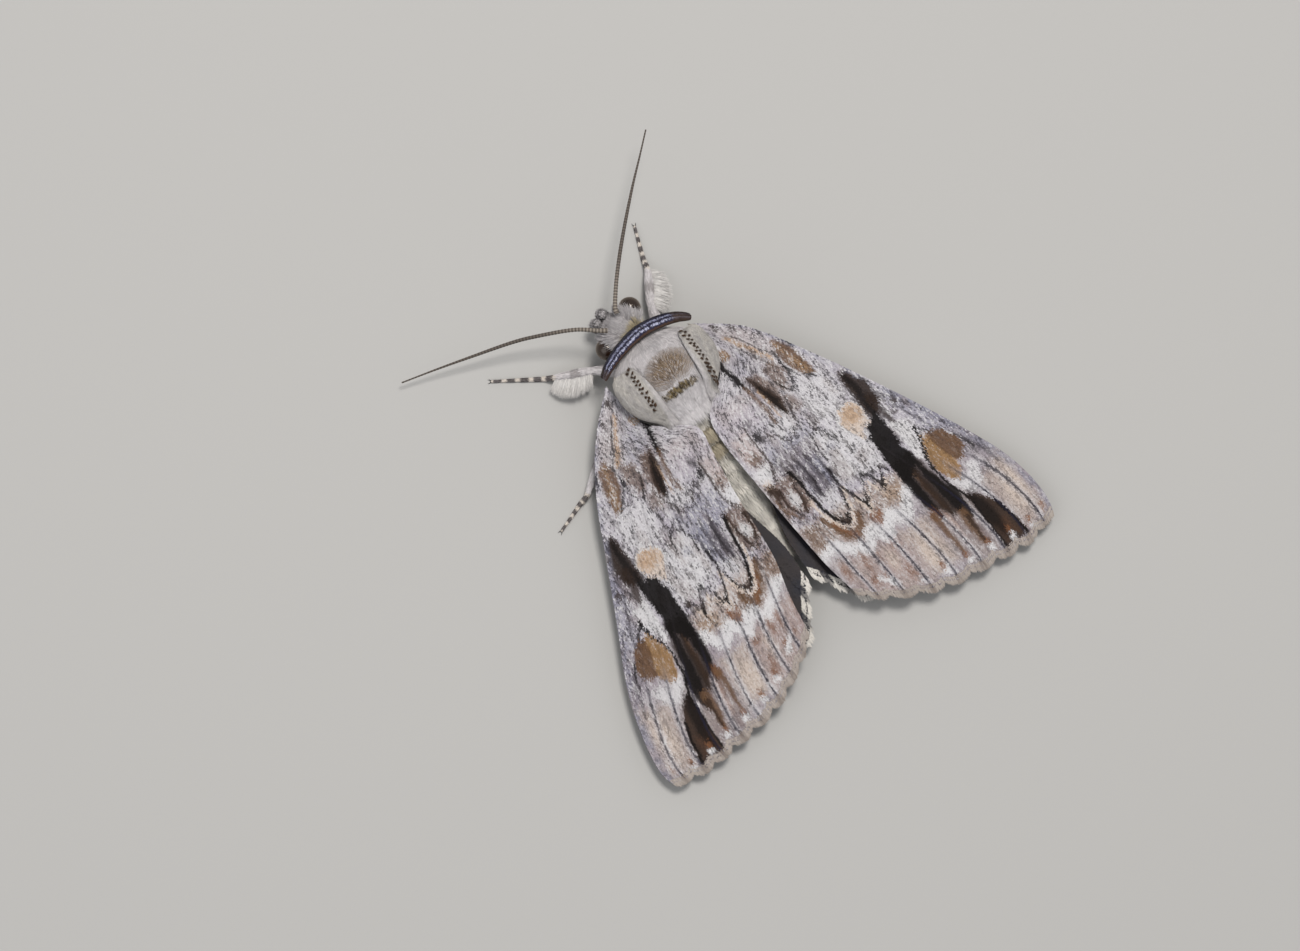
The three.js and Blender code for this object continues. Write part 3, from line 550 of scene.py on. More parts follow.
class Canvas:
    """Colours over places on a wing, painted with soft-edged patches, lines and spots."""

    def __init__(self, x, y, ground):
        self.x, self.y = x, y
        self.rgb = ground.copy()

    def wash(self, colour, cover):
        self.rgb += (colour - self.rgb) * cover[:, None]

    def lay(self, colour, strength, away, soft):
        """Colour where away (mm from the edge of a mark) is below zero, softened over a width."""
        self.wash(colour, strength * (1 - smooth((away + soft / 2) / soft)))

    def edges(self, points):
        """Distance to a run of segments, and how far along them the nearest place is."""
        nearest = np.full(len(self.x), 1e9)
        along = np.zeros(len(self.x))
        for k, ((ax, ay), (bx, by)) in enumerate(zip(points, points[1:])):
            dx, dy = bx - ax, by - ay
            share = np.clip(((self.x - ax) * dx + (self.y - ay) * dy) / (dx * dx + dy * dy), 0, 1)
            away = np.hypot(self.x - ax - share * dx, self.y - ay - share * dy)
            closer = away < nearest
            nearest = np.where(closer, away, nearest)
            along = np.where(closer, k + share, along)
        return nearest, along

    def line(self, colour, strength, width, *points, soft=0.12):
        away, along = self.edges(points)
        if np.ndim(width):
            width = np.interp(along, np.linspace(0, len(points) - 1, len(width)), width)
        self.lay(colour, strength, away - width / 2, soft)

    def patch(self, colour, strength, soft, *points):
        closed = list(points) + [points[0]]
        away, _ = self.edges(closed)
        inside = np.zeros(len(self.x), bool)
        for (ax, ay), (bx, by) in zip(closed, closed[1:]):
            if ay != by:
                crosses = (ay > self.y) != (by > self.y)
                inside ^= crosses & (self.x < ax + (self.y - ay) * (bx - ax) / (by - ay))
        self.lay(colour, strength, np.where(inside, -away, away), soft)

    def spot(self, colour, strength, soft, x, y, rx, ry=None):
        ry = ry or rx
        away = (np.hypot((self.x - x) / rx, (self.y - y) / ry) - 1) * min(rx, ry)
        self.lay(colour, strength, away, soft)


WING_DEPTH = 0.68  # how dark the wings are against the tints they are painted with
MEMBRANE_DEPTH = 0.8  # and their membranes against their scales
# From each wing's own places to those of the pattern, across and along.
PATTERN_STRETCH = {"left": (1.02, 1.035), "right": (0.95, 1.01)}


def scallop(wing, t):
    """How far short of the margin a place across the wing ends: round lobes between the notches."""
    ends = [-0.04] + wing.notches + [1.04]
    lobe = np.interp(t, ends, np.arange(len(ends))) % 1
    return (1 - np.sin(np.pi * lobe) ** 0.6) * NOTCH


def scalloped(wing, s, t):
    """Places along the wing, drawn in by the scallops near its margin."""
    return s - scallop(wing, t) * smooth((s - 0.7) / 0.27)


SCALES_RECOLOURED = 0.3  # share of the scales that is darker than the pattern, and share that is paler


def peppered(colours, wing, s, t, seed, strength):
    """Single scales that are darker or paler than the pattern, strewn in short streaks along the wing."""
    random = np.random.default_rng(seed)
    along, across = s * wing.front.length, t * wing.chord(s)
    streak = noise(np.column_stack([across / 0.1, along / 0.45]), 1.0, 41)
    cloud = noise(np.column_stack([across / 0.9, along / 2.2]), 1.0, 43)
    dusk = 0.8 * streak + 0.35 * cloud + random.uniform(-0.35, 0.35, len(colours))
    rank = np.argsort(np.argsort(dusk)) / len(dusk)
    dark = smooth((rank - 1 + SCALES_RECOLOURED) / SCALES_RECOLOURED) * strength
    light = smooth((SCALES_RECOLOURED - rank) / SCALES_RECOLOURED) * strength
    brightness = smooth((colours.mean(1, keepdims=True) - 0.06) / 0.25)
    out = colours * random.uniform(0.94, 1.06, (len(colours), 1))
    out = mix(out, mix(out * 0.34, DUST * 0.8, 0.5), dark[:, None] * (0.4 + 0.55 * brightness))
    return mix(out, WHITE, light[:, None] * 0.75 * brightness)


def paint_zones(c):
    """Zones: bluish and whitish towards the root, a white band, warm and pinkish beyond it."""
    c.patch(WARM, 0.55, 1.4, (6, 2), (9.9, 5.2), (11, 8), (9.2, 9), (6.8, 5))
    c.patch(SMOKE, 0.45, 1.2, (5.4, 5.6), (7.4, 5.8), (8.5, 9.2), (6.2, 9.2))
    c.patch(MAUVE, 0.6, 1.4, (0.8, 9.5), (5, 9.6), (5, 12.8), (2.6, 13), (1, 12.5))
    c.patch(PINK, 0.7, 0.8, (0.8, 12.8), (2.8, 12.8), (2.9, 16), (1, 16.2))
    c.patch(WHITE, 0.7, 1.2, (9.7, 12), (13, 12.4), (13.6, 15.6), (12.6, 16.6), (10.2, 17), (9.2, 14.8))
    c.patch(WHITE, 0.6, 0.8, (4.9, 13.8), (7.8, 13.4), (7.6, 15.6), (5.2, 15.8))
    c.patch(SMOKE, 0.6, 1, (3.1, 15.6), (8.2, 15.9), (7.8, 19), (4.4, 19.4), (3, 18.6))
    c.patch(BROWN, 0.75, 0.8, (1, 18.8), (4.2, 18.6), (4.5, 22.8), (3.4, 23.4), (2.6, 22.8), (1.2, 22.8))
    c.patch(SMOKE, 0.75, 0.8, (4.6, 18.6), (7.6, 18.6), (7.4, 22.2), (6.4, 23.2), (5, 22.8))
    c.patch(WHITE, 0.55, 0.8, (4.9, 22.8), (7.1, 22.6), (6.7, 25), (5.6, 25.4))
    c.patch(WHITE, 0.65, 1.2, (7.9, 17.4), (10, 17.6), (12.5, 20), (12.5, 23.8), (11.4, 24), (8, 22.8))
    c.patch(WARM, 0.7, 1, (1.3, 24.4), (4.6, 24.6), (7.6, 24.6), (12.8, 25.2), (13, 28), (8, 28.6),
            (6, 29.2), (4, 27.4), (1.6, 27.4))
    c.patch(PINK, 0.6, 1.5, (2.4, 29.2), (9.6, 30.4), (10, 37), (6, 36), (3, 33.4))
    c.patch(CREAM, 0.65, 1.2, (9.5, 30.8), (12.9, 30.6), (13.2, 36.6), (10.2, 36.4))
    c.patch(CREAM, 0.6, 1.4, (19.4, 31.4), (22.4, 30), (23.8, 37.5), (20.8, 38.6), (20, 35))
    c.patch(SMOKE, 0.45, 1.2, (15.9, 17.4), (18, 18.4), (22.6, 27), (22.6, 30), (20.4, 28.6), (18, 23.6))
    c.patch(WARM, 0.4, 1.2, (1.6, 9.4), (5, 9.4), (5.2, 11), (1.4, 11))


def paint_base(c):
    """Marks at the base of the wing."""
    c.line(TAN, 0.8, 0.4, (6.8, 4), (7.9, 5.7), (8.7, 7.1), (9.5, 8.2), soft=0.3)
    c.line(UMBER, 0.75, 0.16, (7.1, 3.8), (8.2, 5.4), (9, 6.9), (9.9, 8))
    c.line(UMBER, 0.6, 0.14, (6.5, 4.6), (7.5, 6.1), (8.4, 7.6), (9.2, 8.9))
    c.spot(OCHRE, 0.85, 0.3, 5.6, 5.2, 0.55)
    c.spot(UMBER, 0.6, 0.2, 5.2, 5.9, 0.25, 0.4)
    c.spot(UMBER, 0.85, 0.25, 6.5, 2.5, 0.3, 0.5)
    c.spot(UMBER, 0.85, 0.25, 8.1, 3.6, 0.25, 0.5)
    c.line(BLACK, 0.97, (0.3, 0.6, 0.55, 0.3), (4.75, 5.1), (4.95, 6.8), (5.2, 8.3), (5.5, 9.7), soft=0.2)
    c.line(BROWN, 0.8, 0.5, (5.4, 9.4), (5.7, 11.2), (5.9, 12.6), (5.8, 13.9), soft=0.4)
    c.patch(BROWN, 0.75, 0.7, (5.9, 8.4), (7.2, 8.6), (8, 10.4), (8, 12.8), (7.5, 13.7), (6.6, 12.6),
            (6.1, 10.6))
    c.line(UMBER, 0.92, (0.2, 0.8, 1.1, 1, 0.4), (6.1, 8.6), (6.5, 9.8), (6.9, 11.3), (7.3, 12.6),
            (7.4, 13.6), soft=0.4)
    c.line(BLACK, 0.75, (0.1, 0.4, 0.5, 0.2), (6.5, 9.6), (6.8, 11), (7.1, 12.2), (7.3, 13.4))
    c.line(TAN, 0.6, 0.24, (6.2, 10.4), (6.5, 12), (6.6, 13.6))


def paint_first_line(c):
    """Costal patch and the first cross line."""
    c.patch(BROWN, 0.9, 0.4, (10.3, 6.8), (11.4, 7.4), (12, 9.2), (12.5, 12.4), (11.4, 11.9),
            (10.5, 10.4), (10.1, 8.4))
    c.patch(OCHRE, 0.45, 0.5, (10.8, 9.8), (11.7, 9.6), (12.3, 12.2), (11.5, 11.8))
    c.line(TAN, 0.5, 0.3, (10.6, 7.4), (11.1, 9.2), (11.6, 11.2), soft=0.4)
    c.line(BLACK, 0.9, 0.35, (11.6, 7.4), (12.2, 8.6))
    c.line(BLACK, 0.8, 0.2, (10.05, 7.8), (10, 9.6), (10.5, 11), (12, 12.4))
    c.patch(BROWN, 0.7, 0.5, (8, 8.8), (9.3, 8.3), (9.9, 9.9), (9.6, 11.7), (8.8, 12.2), (8.1, 11.2))
    c.line(BLACK, 0.85, 0.22, (10, 9.2), (10.1, 10.8), (9.8, 12.2), (9.2, 12.4), (8.5, 11.2), (8.1, 10.2))
    c.line(PALE, 0.8, 0.3, (9.7, 10.4), (9.5, 11.5), (9.1, 11.6), soft=0.2)
    c.patch(BROWN, 0.55, 0.6, (8.1, 12.2), (9, 12.6), (9.3, 13.8), (8.5, 14.6), (7.9, 13.8))
    c.line(UMBER, 0.8, 0.2, (8.2, 12.2), (7.9, 13.8), (7.4, 15.4), (6.6, 16), (5.6, 16), (4.9, 14.8),
            (4.2, 14))
    c.line(UMBER, 0.85, 0.22, (2.8, 12.6), (2.9, 14.6), (3, 16.4), (2.9, 17.6), (2.2, 18.8), (1.2, 19.1))
    c.spot(BLACK, 0.9, 0.25, 3.4, 14, 0.4, 0.5)
    c.spot(UMBER, 0.7, 0.4, 3.9, 14.6, 0.5, 0.3)
    c.spot(DUST, 0.6, 0.6, 3.3, 12.4, 0.5, 0.6)
    c.spot(BROWN, 0.6, 0.8, 1.9, 15.9, 0.7, 0.9)
    c.patch(WHITE, 0.9, 0.4, (1, 16.8), (2.8, 16.6), (2.6, 17.8), (1.8, 18.7), (1.1, 18.6))
    c.spot(TAN, 0.6, 0.4, 1.4, 18.6, 0.4, 0.3)
    c.line(UMBER, 0.85, (0.5, 0.8, 0.5), (1.2, 19.4), (1.9, 19.8), (1.5, 20.8), soft=0.4)


def paint_fold(c):
    """The fold near the inner margin and the shades beside it."""
    c.line(DUST, 0.75, (0.4, 0.7, 0.4), (5.2, 18.4), (5.45, 20.6), (5.45, 22.8), soft=0.4)
    c.line(BLACK, 0.6, 0.2, (5.5, 18.8), (5.6, 20.5), (5.5, 22.6), soft=0.25)
    c.line(DUST, 0.6, (0.3, 0.6, 0.3), (6.3, 18.4), (6.4, 20.4), (6.5, 22.4), soft=0.4)
    c.line(DUST, 0.7, (0.2, 0.5, 0.3), (7.3, 19), (7.35, 21), (7.4, 23.4), soft=0.3)
    c.spot(WHITE, 0.8, 0.4, 2.9, 21.4, 0.5, 0.9)
    c.line(UMBER, 0.85, 0.26, (2.2, 19.6), (2, 21.4), (2.4, 22.9), (3, 23.4), (3.5, 22.4), (3.6, 20.6),
            (3.8, 19.2))
    c.line(BROWN, 0.7, 0.3, (1.2, 20.6), (1.5, 22), (2.2, 23.2), (2.9, 23.6))


def paint_oval_spot(c):
    """Outline of the oval spot."""
    c.line(BLACK, 0.85, 0.2, (7.9, 20.4), (7.75, 18.6), (8.05, 17.3), (8.8, 16.9), (9.4, 17.3),
            (9.7, 18.4), (9.8, 19.2))
    c.line(UMBER, 0.6, 0.3, (8.6, 16.9), (9.4, 16.3), (10.4, 16.5), soft=0.3)
    c.spot(SMOKE, 0.5, 0.5, 8.9, 19.4, 0.6, 0.4)


def paint_second_line(c):
    """Second cross line: three pointed loops, pale outside, with a brown band beyond."""
    c.line(BROWN, 0.92, (0.5, 0.8, 1, 1.2, 0.9, 0.5), (3.9, 24.4), (4.6, 26.2), (5.3, 27.4), (6.2, 28.1),
            (6.9, 27.5), (7.3, 26.3), soft=0.4)
    c.line(RUST, 0.7, 0.4, (4.6, 25.8), (5.3, 27.2), (6.2, 28.2), soft=0.3)
    c.patch(BROWN, 0.6, 0.6, (1.4, 24.6), (3.2, 24.6), (3.8, 26.8), (2.4, 27.2), (1.7, 26.6))
    c.line(UMBER, 0.6, 0.2, (3.9, 24.6), (3.8, 26), (4, 27.2), soft=0.2)
    c.line(CREAM, 0.9, 0.32, (4, 22.4), (4.4, 24.6), (5.1, 26.4), (6, 27.2), (6.85, 26.4), (7.35, 24.6),
            (7.6, 23.4), soft=0.2)
    c.line(CREAM, 0.85, 0.26, (7.9, 25.2), (8.6, 27.2), (9.3, 25.6), (9.9, 24.6), (10.9, 26.6),
            (11.7, 25.2), soft=0.2)
    c.patch(RUST, 0.85, 0.35, (8, 27.1), (8.6, 27.4), (9.3, 27), (9.4, 28.4), (8.7, 28.9), (8.1, 28.3))
    c.patch(OCHRE, 0.45, 0.6, (10.2, 26.4), (12.4, 26), (12.4, 27.6), (10.4, 27.6))
    c.line(BLACK, 0.97, (0.45, 0.36, 0.3, 0.34, 0.44, 0.3, 0.26, 0.24), (4, 18.8), (4.3, 20.5),
            (4.45, 22.4), (4.75, 24.2), (5.3, 25.9), (6, 26.6), (6.7, 25.8), (7.1, 24.4), soft=0.14)
    c.line(BLACK, 0.85, 0.22, (7.1, 24.4), (7.3, 22.6), (7.35, 20.6))
    c.patch(UMBER, 0.9, 0.3, (5.1, 25.4), (5.95, 26.7), (6.75, 25.4), (6, 25.8))
    c.line(BLACK, 0.9, 0.2, (7.5, 23.2), (8.1, 25), (8.6, 26.5), (9, 25.7), (9.3, 24.4), (9.9, 23.3))
    c.patch(BLACK, 0.92, 0.2, (8.25, 25.3), (8.6, 26.8), (8.95, 25.5), (8.6, 25.7))
    c.spot(BLACK, 0.85, 0.2, 9.9, 23.4, 0.35, 0.18)
    c.line(BLACK, 0.9, 0.2, (10.2, 23.4), (10.8, 25.2), (11.05, 26), (11.35, 25), (11.8, 24.2),
            (12.5, 24.6))
    c.patch(BLACK, 0.85, 0.2, (10.8, 24.9), (11.05, 26.1), (11.35, 24.9))
    c.spot(UMBER, 0.8, 0.25, 12.1, 24.1, 0.4, 0.25)


def paint_white_band(c):
    """Zigzag white band, with rust and cream marks beyond it."""
    c.line(WHITE, 0.95, (0.9, 1.1, 1.2, 1.3, 1.2, 1.3, 1.2, 1.3, 1.2), (1.5, 27.9), (3.2, 27.6),
            (4.8, 28.9), (6.2, 30), (7.4, 28.5), (8.6, 30.1), (9.8, 28.3), (11.3, 29.6), (12.7, 27.6),
            soft=0.5)
    rusty = [(5.2, 31, 0.3, 1), (6.4, 31.2, 0.35, 0.9), (8.6, 31.4, 0.5, 0.5), (2.9, 30.6, 0.4, 1),
             (8.4, 34.4, 0.4, 0.9), (5, 33, 0.5, 0.6), (14.4, 32.6, 0.4, 1.2)]
    for ellipse in rusty:
        c.spot(RUST, 0.6, 0.5, *ellipse)
    for ellipse in [(7.5, 32.4, 0.5, 1.2), (11.2, 34, 1, 2), (21.9, 34, 0.9, 2.4)]:
        c.spot(CREAM, 0.6, 0.8, *ellipse)


def paint_costa(c):
    """Dark patch and marks along the costa."""
    c.patch(UMBER, 0.95, 0.4, (14, 13.6), (15, 14), (16.1, 16), (16, 18.4), (15, 19.6), (14.1, 19.2),
            (13.9, 16.8))
    c.line(BLACK, 0.8, (0.5, 0.7, 0.6), (14.5, 14.2), (14.7, 16.4), (14.6, 19), soft=0.4)
    c.line(UMBER, 0.85, (1, 0.8, 0.3), (15.2, 17.6), (15.5, 19.8), (15.8, 22.2), soft=0.5)
    c.spot(UMBER, 0.85, 0.2, 17.2, 19.2, 0.35, 0.5)
    c.spot(UMBER, 0.7, 0.2, 16.4, 20.2, 0.4, 0.2)
    c.line(DUST, 0.6, 0.24, (16.8, 19.6), (18, 22.4), (19.2, 25), soft=0.2)
    c.line(DUST, 0.5, 0.2, (18.2, 20.4), (19.6, 23.4), (20.6, 25.4), soft=0.2)


def paint_round_spot(c):
    """Round spot with its pale ring."""
    c.spot(UMBER, 0.45, 0.3, 12.45, 18.1, 1.75, 1.75)
    c.spot(WHITE, 0.9, 0.2, 12.4, 18.1, 1.6, 1.6)
    c.spot(mix(TAN, CREAM, 0.6), 0.97, 0.3, 12.5, 18.1, 1.36, 1.38)
    c.spot(TAN, 0.7, 0.6, 12.6, 17.8, 0.9, 0.9)
    c.patch(CREAM, 0.95, 0.2, (11.4, 18.8), (12.2, 20.7), (12.9, 19.8), (13.9, 19.4), (13, 19))


def paint_dash(c):
    """Long black dash that forks and browns towards the margin."""
    c.patch(BROWN, 0.42, 1.4, (13.4, 30.6), (17.2, 31), (19.8, 33.6), (20.6, 38.4), (13.6, 38.2))
    c.patch(UMBER, 0.9, 0.6, (13, 24.6), (15.3, 24.3), (16.2, 28.6), (16.8, 32), (15.8, 33), (14.6, 31.6),
            (13.2, 30.2))
    c.line(BROWN, 0.7, 0.3, (14.3, 26.6), (14.5, 29), (14.9, 31.4), soft=0.4)
    c.patch(BLACK, 0.98, 0.22, (12.7, 20.9), (13.1, 19.9), (14, 19.3), (14.95, 19.2), (15, 21.4),
            (14.95, 23.4), (15.2, 25.2), (14.5, 26.6), (13.7, 27.2), (13, 26.6), (12.75, 24))
    c.line(BLACK, 0.95, (1.1, 1.1, 1, 0.7, 0.3), (13.3, 25.6), (13.45, 27.6), (13.6, 29.2), (13.8, 30.6),
            (14, 32), soft=0.3)
    c.line(BLACK, 0.93, (0.5, 0.6, 1, 1.5, 1.2, 0.6), (15.1, 24.8), (15.2, 26.8), (15.6, 28.8),
            (16.1, 30.6), (16.4, 32.2), (16.5, 33.8), soft=0.3)
    c.line(UMBER, 0.85, (0.3, 0.7, 0.8, 0.4), (14.5, 26.4), (14.6, 28.4), (14.9, 30.6), (15.1, 32.4),
            soft=0.3)
    c.spot(RUST, 0.9, 0.4, 13.6, 31.4, 0.4, 0.8)
    c.line(BROWN, 0.85, (0.8, 0.6, 0.4), (13.5, 31.4), (13.6, 33.4), (13.8, 35.8), soft=0.4)
    c.line(BROWN, 0.85, (1, 0.9, 0.6), (16, 32.8), (16, 35), (16.3, 36.8), soft=0.5)
    c.line(UMBER, 0.8, (0.5, 0.3), (16.2, 33.4), (16.3, 36.4), soft=0.25)
    c.line(PINK, 0.6, 0.5, (14.6, 32.4), (14.7, 35.6), soft=0.4)
    c.patch(WHITE, 0.85, 0.4, (15.2, 21), (17, 21.4), (16.7, 24), (16, 26), (15.5, 25.4), (15.3, 23))


def paint_kidney(c):
    """Kidney-shaped brown patch, whitish beyond it."""
    c.patch(WHITE, 0.8, 0.7, (16.8, 29.4), (18.4, 30), (19.4, 29), (20.6, 29.4), (19.6, 31.6), (18.6, 32),
            (17.3, 31))
    c.patch(OCHRE, 0.97, 0.22, (17.2, 24), (17.9, 24.4), (18.2, 26.4), (18.7, 27.8), (18.6, 29),
            (18, 29.9), (17.1, 29.4), (16.6, 28.4), (16.3, 27), (16.6, 25.6))
    c.patch(BROWN, 0.95, 0.22, (17.6, 24.1), (19, 24.4), (20, 26), (20.3, 27.2), (19.6, 28.2),
            (18.8, 28.3), (18.3, 27), (17.8, 25.6))
    c.line(BLACK, 0.97, (0.34, 0.3, 0.26, 0.28, 0.34), (17.1, 22.8), (16.95, 24.2), (16.4, 25.7),
            (16.15, 26.8), (16.35, 28.5), (16.7, 30.2), (17.2, 31.5), (17.8, 32.6))
    c.line(BLACK, 0.9, 0.24, (17.1, 22.9), (17.8, 23.6), (18.2, 24.1))
    c.line(BLACK, 0.85, 0.22, (20, 25.8), (20.5, 26.8), (21, 28.2))
    c.line(DUST, 0.6, 0.3, (20.8, 27), (21.6, 28.8), (22.2, 31), soft=0.3)


def paint_apex_streak(c):
    """Dark streak to the apex."""
    c.patch(mix(UMBER, BROWN, 0.1), 0.95, 0.3, (17.4, 31.6), (18.2, 32), (19.2, 33.3), (19.9, 35),
            (20.4, 37), (20.5, 38.6), (17.7, 38.6), (17.6, 35.5), (17.3, 33.3))
    c.patch(RUST, 0.15, 0.6, (18, 35.8), (19.4, 35.8), (19.8, 38), (18.2, 38))
    c.line(BLACK, 0.8, (0.8, 1.3, 1.2, 0.6), (17.6, 31.8), (18, 33.4), (18.3, 35.4), (18.6, 37.6),
            soft=0.7)
    c.line(BLACK, 0.92, 0.3, (19.4, 33.8), (20, 36.2), (20.3, 38.8))
    c.line(BLACK, 0.9, 0.24, (17.5, 32.5), (17.6, 35.4), (17.8, 38.8))


def paint_flecks(c):
    """White flecks before the margin, each with a rust dot towards the root."""
    flecks = [(6.3, 34.1), (9, 36), (11.4, 36.8), (14, 37.2), (16.5, 37.6), (18.9, 38), (21.3, 38.3)]
    for x0, y0 in flecks:
        c.spot(RUST, 0.85, 0.3, x0 - 0.1, y0 - 0.85, 0.28, 0.32)
        c.spot(WHITE, 0.95, 0.3, x0, y0, 0.42, 0.4)
    c.line(WHITE, 0.85, 0.5, (5.4, 33), (6.6, 34.5), soft=0.3)
    c.spot(RUST, 0.7, 0.3, 23.1, 37.2, 0.3, 0.5)


def paint_clouds(c, place, s, seed):
    """Brownish clouds and thin dark streaks over the inner two thirds, warmer beyond, paler at the base."""
    inner = 1 - smooth((s - 0.62) / 0.1)
    base = 1 - smooth((s - 0.28) / 0.2)
    cloud = noise(place * [1, 0.45], 0.9, seed + 9)
    thin = noise(place * [2.4, 0.5], 0.5, seed + 10)
    c.wash(BROWN, 0.3 * inner * smooth((cloud - 0.05) / 0.5))
    c.wash(UMBER, 0.55 * inner * smooth((thin - 0.3) / 0.3))
    c.wash(BROWN, 0.3 * (1 - inner))
    c.wash(PALE, 0.4 * base)


def paint_veins(c, wing, s, t, dashes):
    """Broken dark lines, inky towards the margin. Gives how strongly scales are strewn, most by the veins."""
    outer_third = smooth((s - 0.68) / 0.12)
    pepper = 1 - 0.5 * outer_third
    for root, margin, _ in FORE_VEINS:
        away = np.abs(t - mix(root, margin, s)) * wing.chord(s)
        c.lay(PALE, 0.5 * outer_third * smooth((c.rgb.mean(1) - 0.08) / 0.15), away - 0.35, 0.5)
        c.lay(INK * 0.7, 0.97 * outer_third * (0.65 + 0.35 * dashes), away - 0.1, 0.16)
        c.lay(DUST, 0.35 * dashes * (1 - outer_third), away - 0.08, 0.16)
        pepper = np.maximum(pepper, outer_third * np.exp(-(away / 0.5) ** 2))
    return pepper


PAINTED_IN_TURN = [
    paint_base, paint_first_line, paint_fold, paint_oval_spot, paint_second_line, paint_white_band,
    paint_costa, paint_round_spot, paint_dash, paint_kidney, paint_apex_streak, paint_flecks,
]
CALM_PLACES = [  # x, y and reach of the marks on which fewer scales are strewn
    (12.5, 18.1, 1.6), (17.6, 27.2, 2.2), (14.2, 23, 2), (14.6, 28, 2), (18.6, 35, 1.6),
]


def forewing_colours(points, s, t, seed):
    """The pattern of a forewing at places of its upper face."""
    place = points[:, :2]
    name = "left" if place[:, 0].mean() > 0 else "right"
    wing = FOREWINGS[name]
    side = np.abs(place[:, 0]) * PATTERN_STRETCH[name][0]
    x = side + 0.1 * noise(place, 0.6, seed) + 0.05 * noise(place, 0.22, seed + 1)
    y = place[:, 1] * PATTERN_STRETCH[name][1]
    y = y + 0.18 * noise(place, 0.6, seed + 2) + 0.09 * noise(place, 0.22, seed + 3)
    cloud = noise(place, 2.2, seed + 4)
    streak = noise(np.column_stack([side * 2.6, y * 0.6]), 1.0, seed + 5)
    ground = mix(LILAC, PALE, np.clip(0.5 + 0.45 * cloud + 0.4 * streak, 0, 1)[:, None])
    c = Canvas(x, y, ground)
    paint_zones(c)
    paint_clouds(c, np.column_stack([side, y]), s, seed)
    for paint in PAINTED_IN_TURN:
        paint(c)
    pepper = paint_veins(c, wing, s, t, 0.5 + 0.5 * noise(place, 0.4, seed + 6))
    for x0, y0, reach in CALM_PLACES:
        pepper *= 1 - 0.6 * np.exp(-(np.hypot(x - x0, y - y0) / reach) ** 4)
    # Dusk at the scalloped margin and along the costa.
    c.lay(INK, 0.4, (MEMBRANE_END - 0.012 - scallop(wing, t) - s) * WING_LENGTH, 0.6)
    c.lay(SMOKE, 0.6 * smooth(0.5 + noise(place, 0.5, seed + 7)), (0.97 - t) * WING_BREADTH, 0.8)
    return peppered(np.clip(c.rgb, 0, 1), wing, s, t, seed + 8, pepper) * WING_DEPTH


def hindwing_colours(points, s, t, seed):
    """Blue-black, with the fringe left to its own piece."""
    place = points[:, :2]
    cloud = noise(place, 1.5, seed)
    return mix(NIGHT, UMBER, np.clip(0.3 + 0.4 * cloud, 0, 1)[:, None]) * 0.8


def under_colours(points, s, t, seed):
    """The hidden face: dusky, with two pale bands and a pale base."""
    place = points[:, :2]
    wave = s + 0.02 * np.sin(t * 9) + 0.012 * noise(place, 1.5, seed)
    rgb = np.repeat(UMBER[None] * 1.3, len(s), 0)
    band = smooth((0.06 - np.abs(wave - 0.45)) / 0.03) + smooth((0.055 - np.abs(wave - 0.74)) / 0.03)
    base = smooth((0.24 - wave) / 0.1)
    pale = np.clip(band + base, 0, 1)[:, None]
    rgb = mix(rgb, WARM, pale * 0.85)
    return rgb * (0.9 + 0.2 * noise(place, 0.4, seed + 3))[:, None]


def membrane(wing, side, rows, columns, colours, seed):
    """The wing's closed thin body: both faces on the same grid, the margin scalloped."""
    s, t = np.meshgrid(np.linspace(0, MEMBRANE_END, rows), np.linspace(0, 1, columns), indexing="ij")
    s = scalloped(wing, s, t)
    from_sides = np.minimum(t, 1 - t) * wing.chord(s) / 0.7
    from_margin = (MEMBRANE_END + 0.01 - s) * WING_LENGTH / 0.8
    half = 0.04 + 0.1 * smooth(np.minimum(from_sides, from_margin))
    top = wing.at(s, t, MEMBRANE_TOP).reshape(-1, 3)
    below = top - UP * (2 * half.reshape(-1, 1))
    points = np.vstack([top, below])
    points[:, 0] *= side
    r, k = np.meshgrid(np.arange(rows - 1), np.arange(columns - 1), indexing="ij")
    a = (r * columns + k).ravel()
    quad = np.column_stack([a, a + 1, a + columns + 1, a + columns])
    n = rows * columns
    rim = np.concatenate([np.arange(columns), np.arange(2, rows + 1) * columns - 1,
                          np.arange(rows * columns - 2, (rows - 1) * columns - 1, -1),
                          np.arange(rows - 2, 0, -1) * columns])
    following = np.roll(rim, -1)
    wall = np.column_stack([following, rim, rim + n, following + n])
    quads = np.vstack([quad, quad[:, ::-1] + n, wall])
    faces = np.vstack([quads[:, :3], quads[:, [0, 2, 3]]])
    flat_s, flat_t = s.ravel(), t.ravel()
    upper = colours(points[:n], flat_s, flat_t, seed)
    lower = under_colours(points[:n], flat_s, flat_t, seed)
    return points, faces, np.vstack([upper, lower])


def scale_rows(wing, spacing, width, random):
    """Places of the scales, in staggered rows from root to margin."""
    length = wing.front.length
    rows = int(length * MEMBRANE_END / spacing)
    s_all, t_all = [], []
    for row in range(rows):
        s = MEMBRANE_END * (row + 0.5) / rows
        count = max(3, int(wing.chord(np.array(s)) / width))
        t = (np.arange(count) + (0.25 if row % 2 else 0.75)) / count
        s_all.append(np.full(count, s))
        t_all.append(t)
    s = np.concatenate(s_all)
    t = np.concatenate(t_all)
    s = s + random.uniform(-0.6, 0.6, len(s)) * spacing / length
    t = t + random.uniform(-0.45, 0.45, len(t)) * width / wing.chord(s)
    return np.clip(s, 0.001, MEMBRANE_END), np.clip(t, 0.004, 0.996)


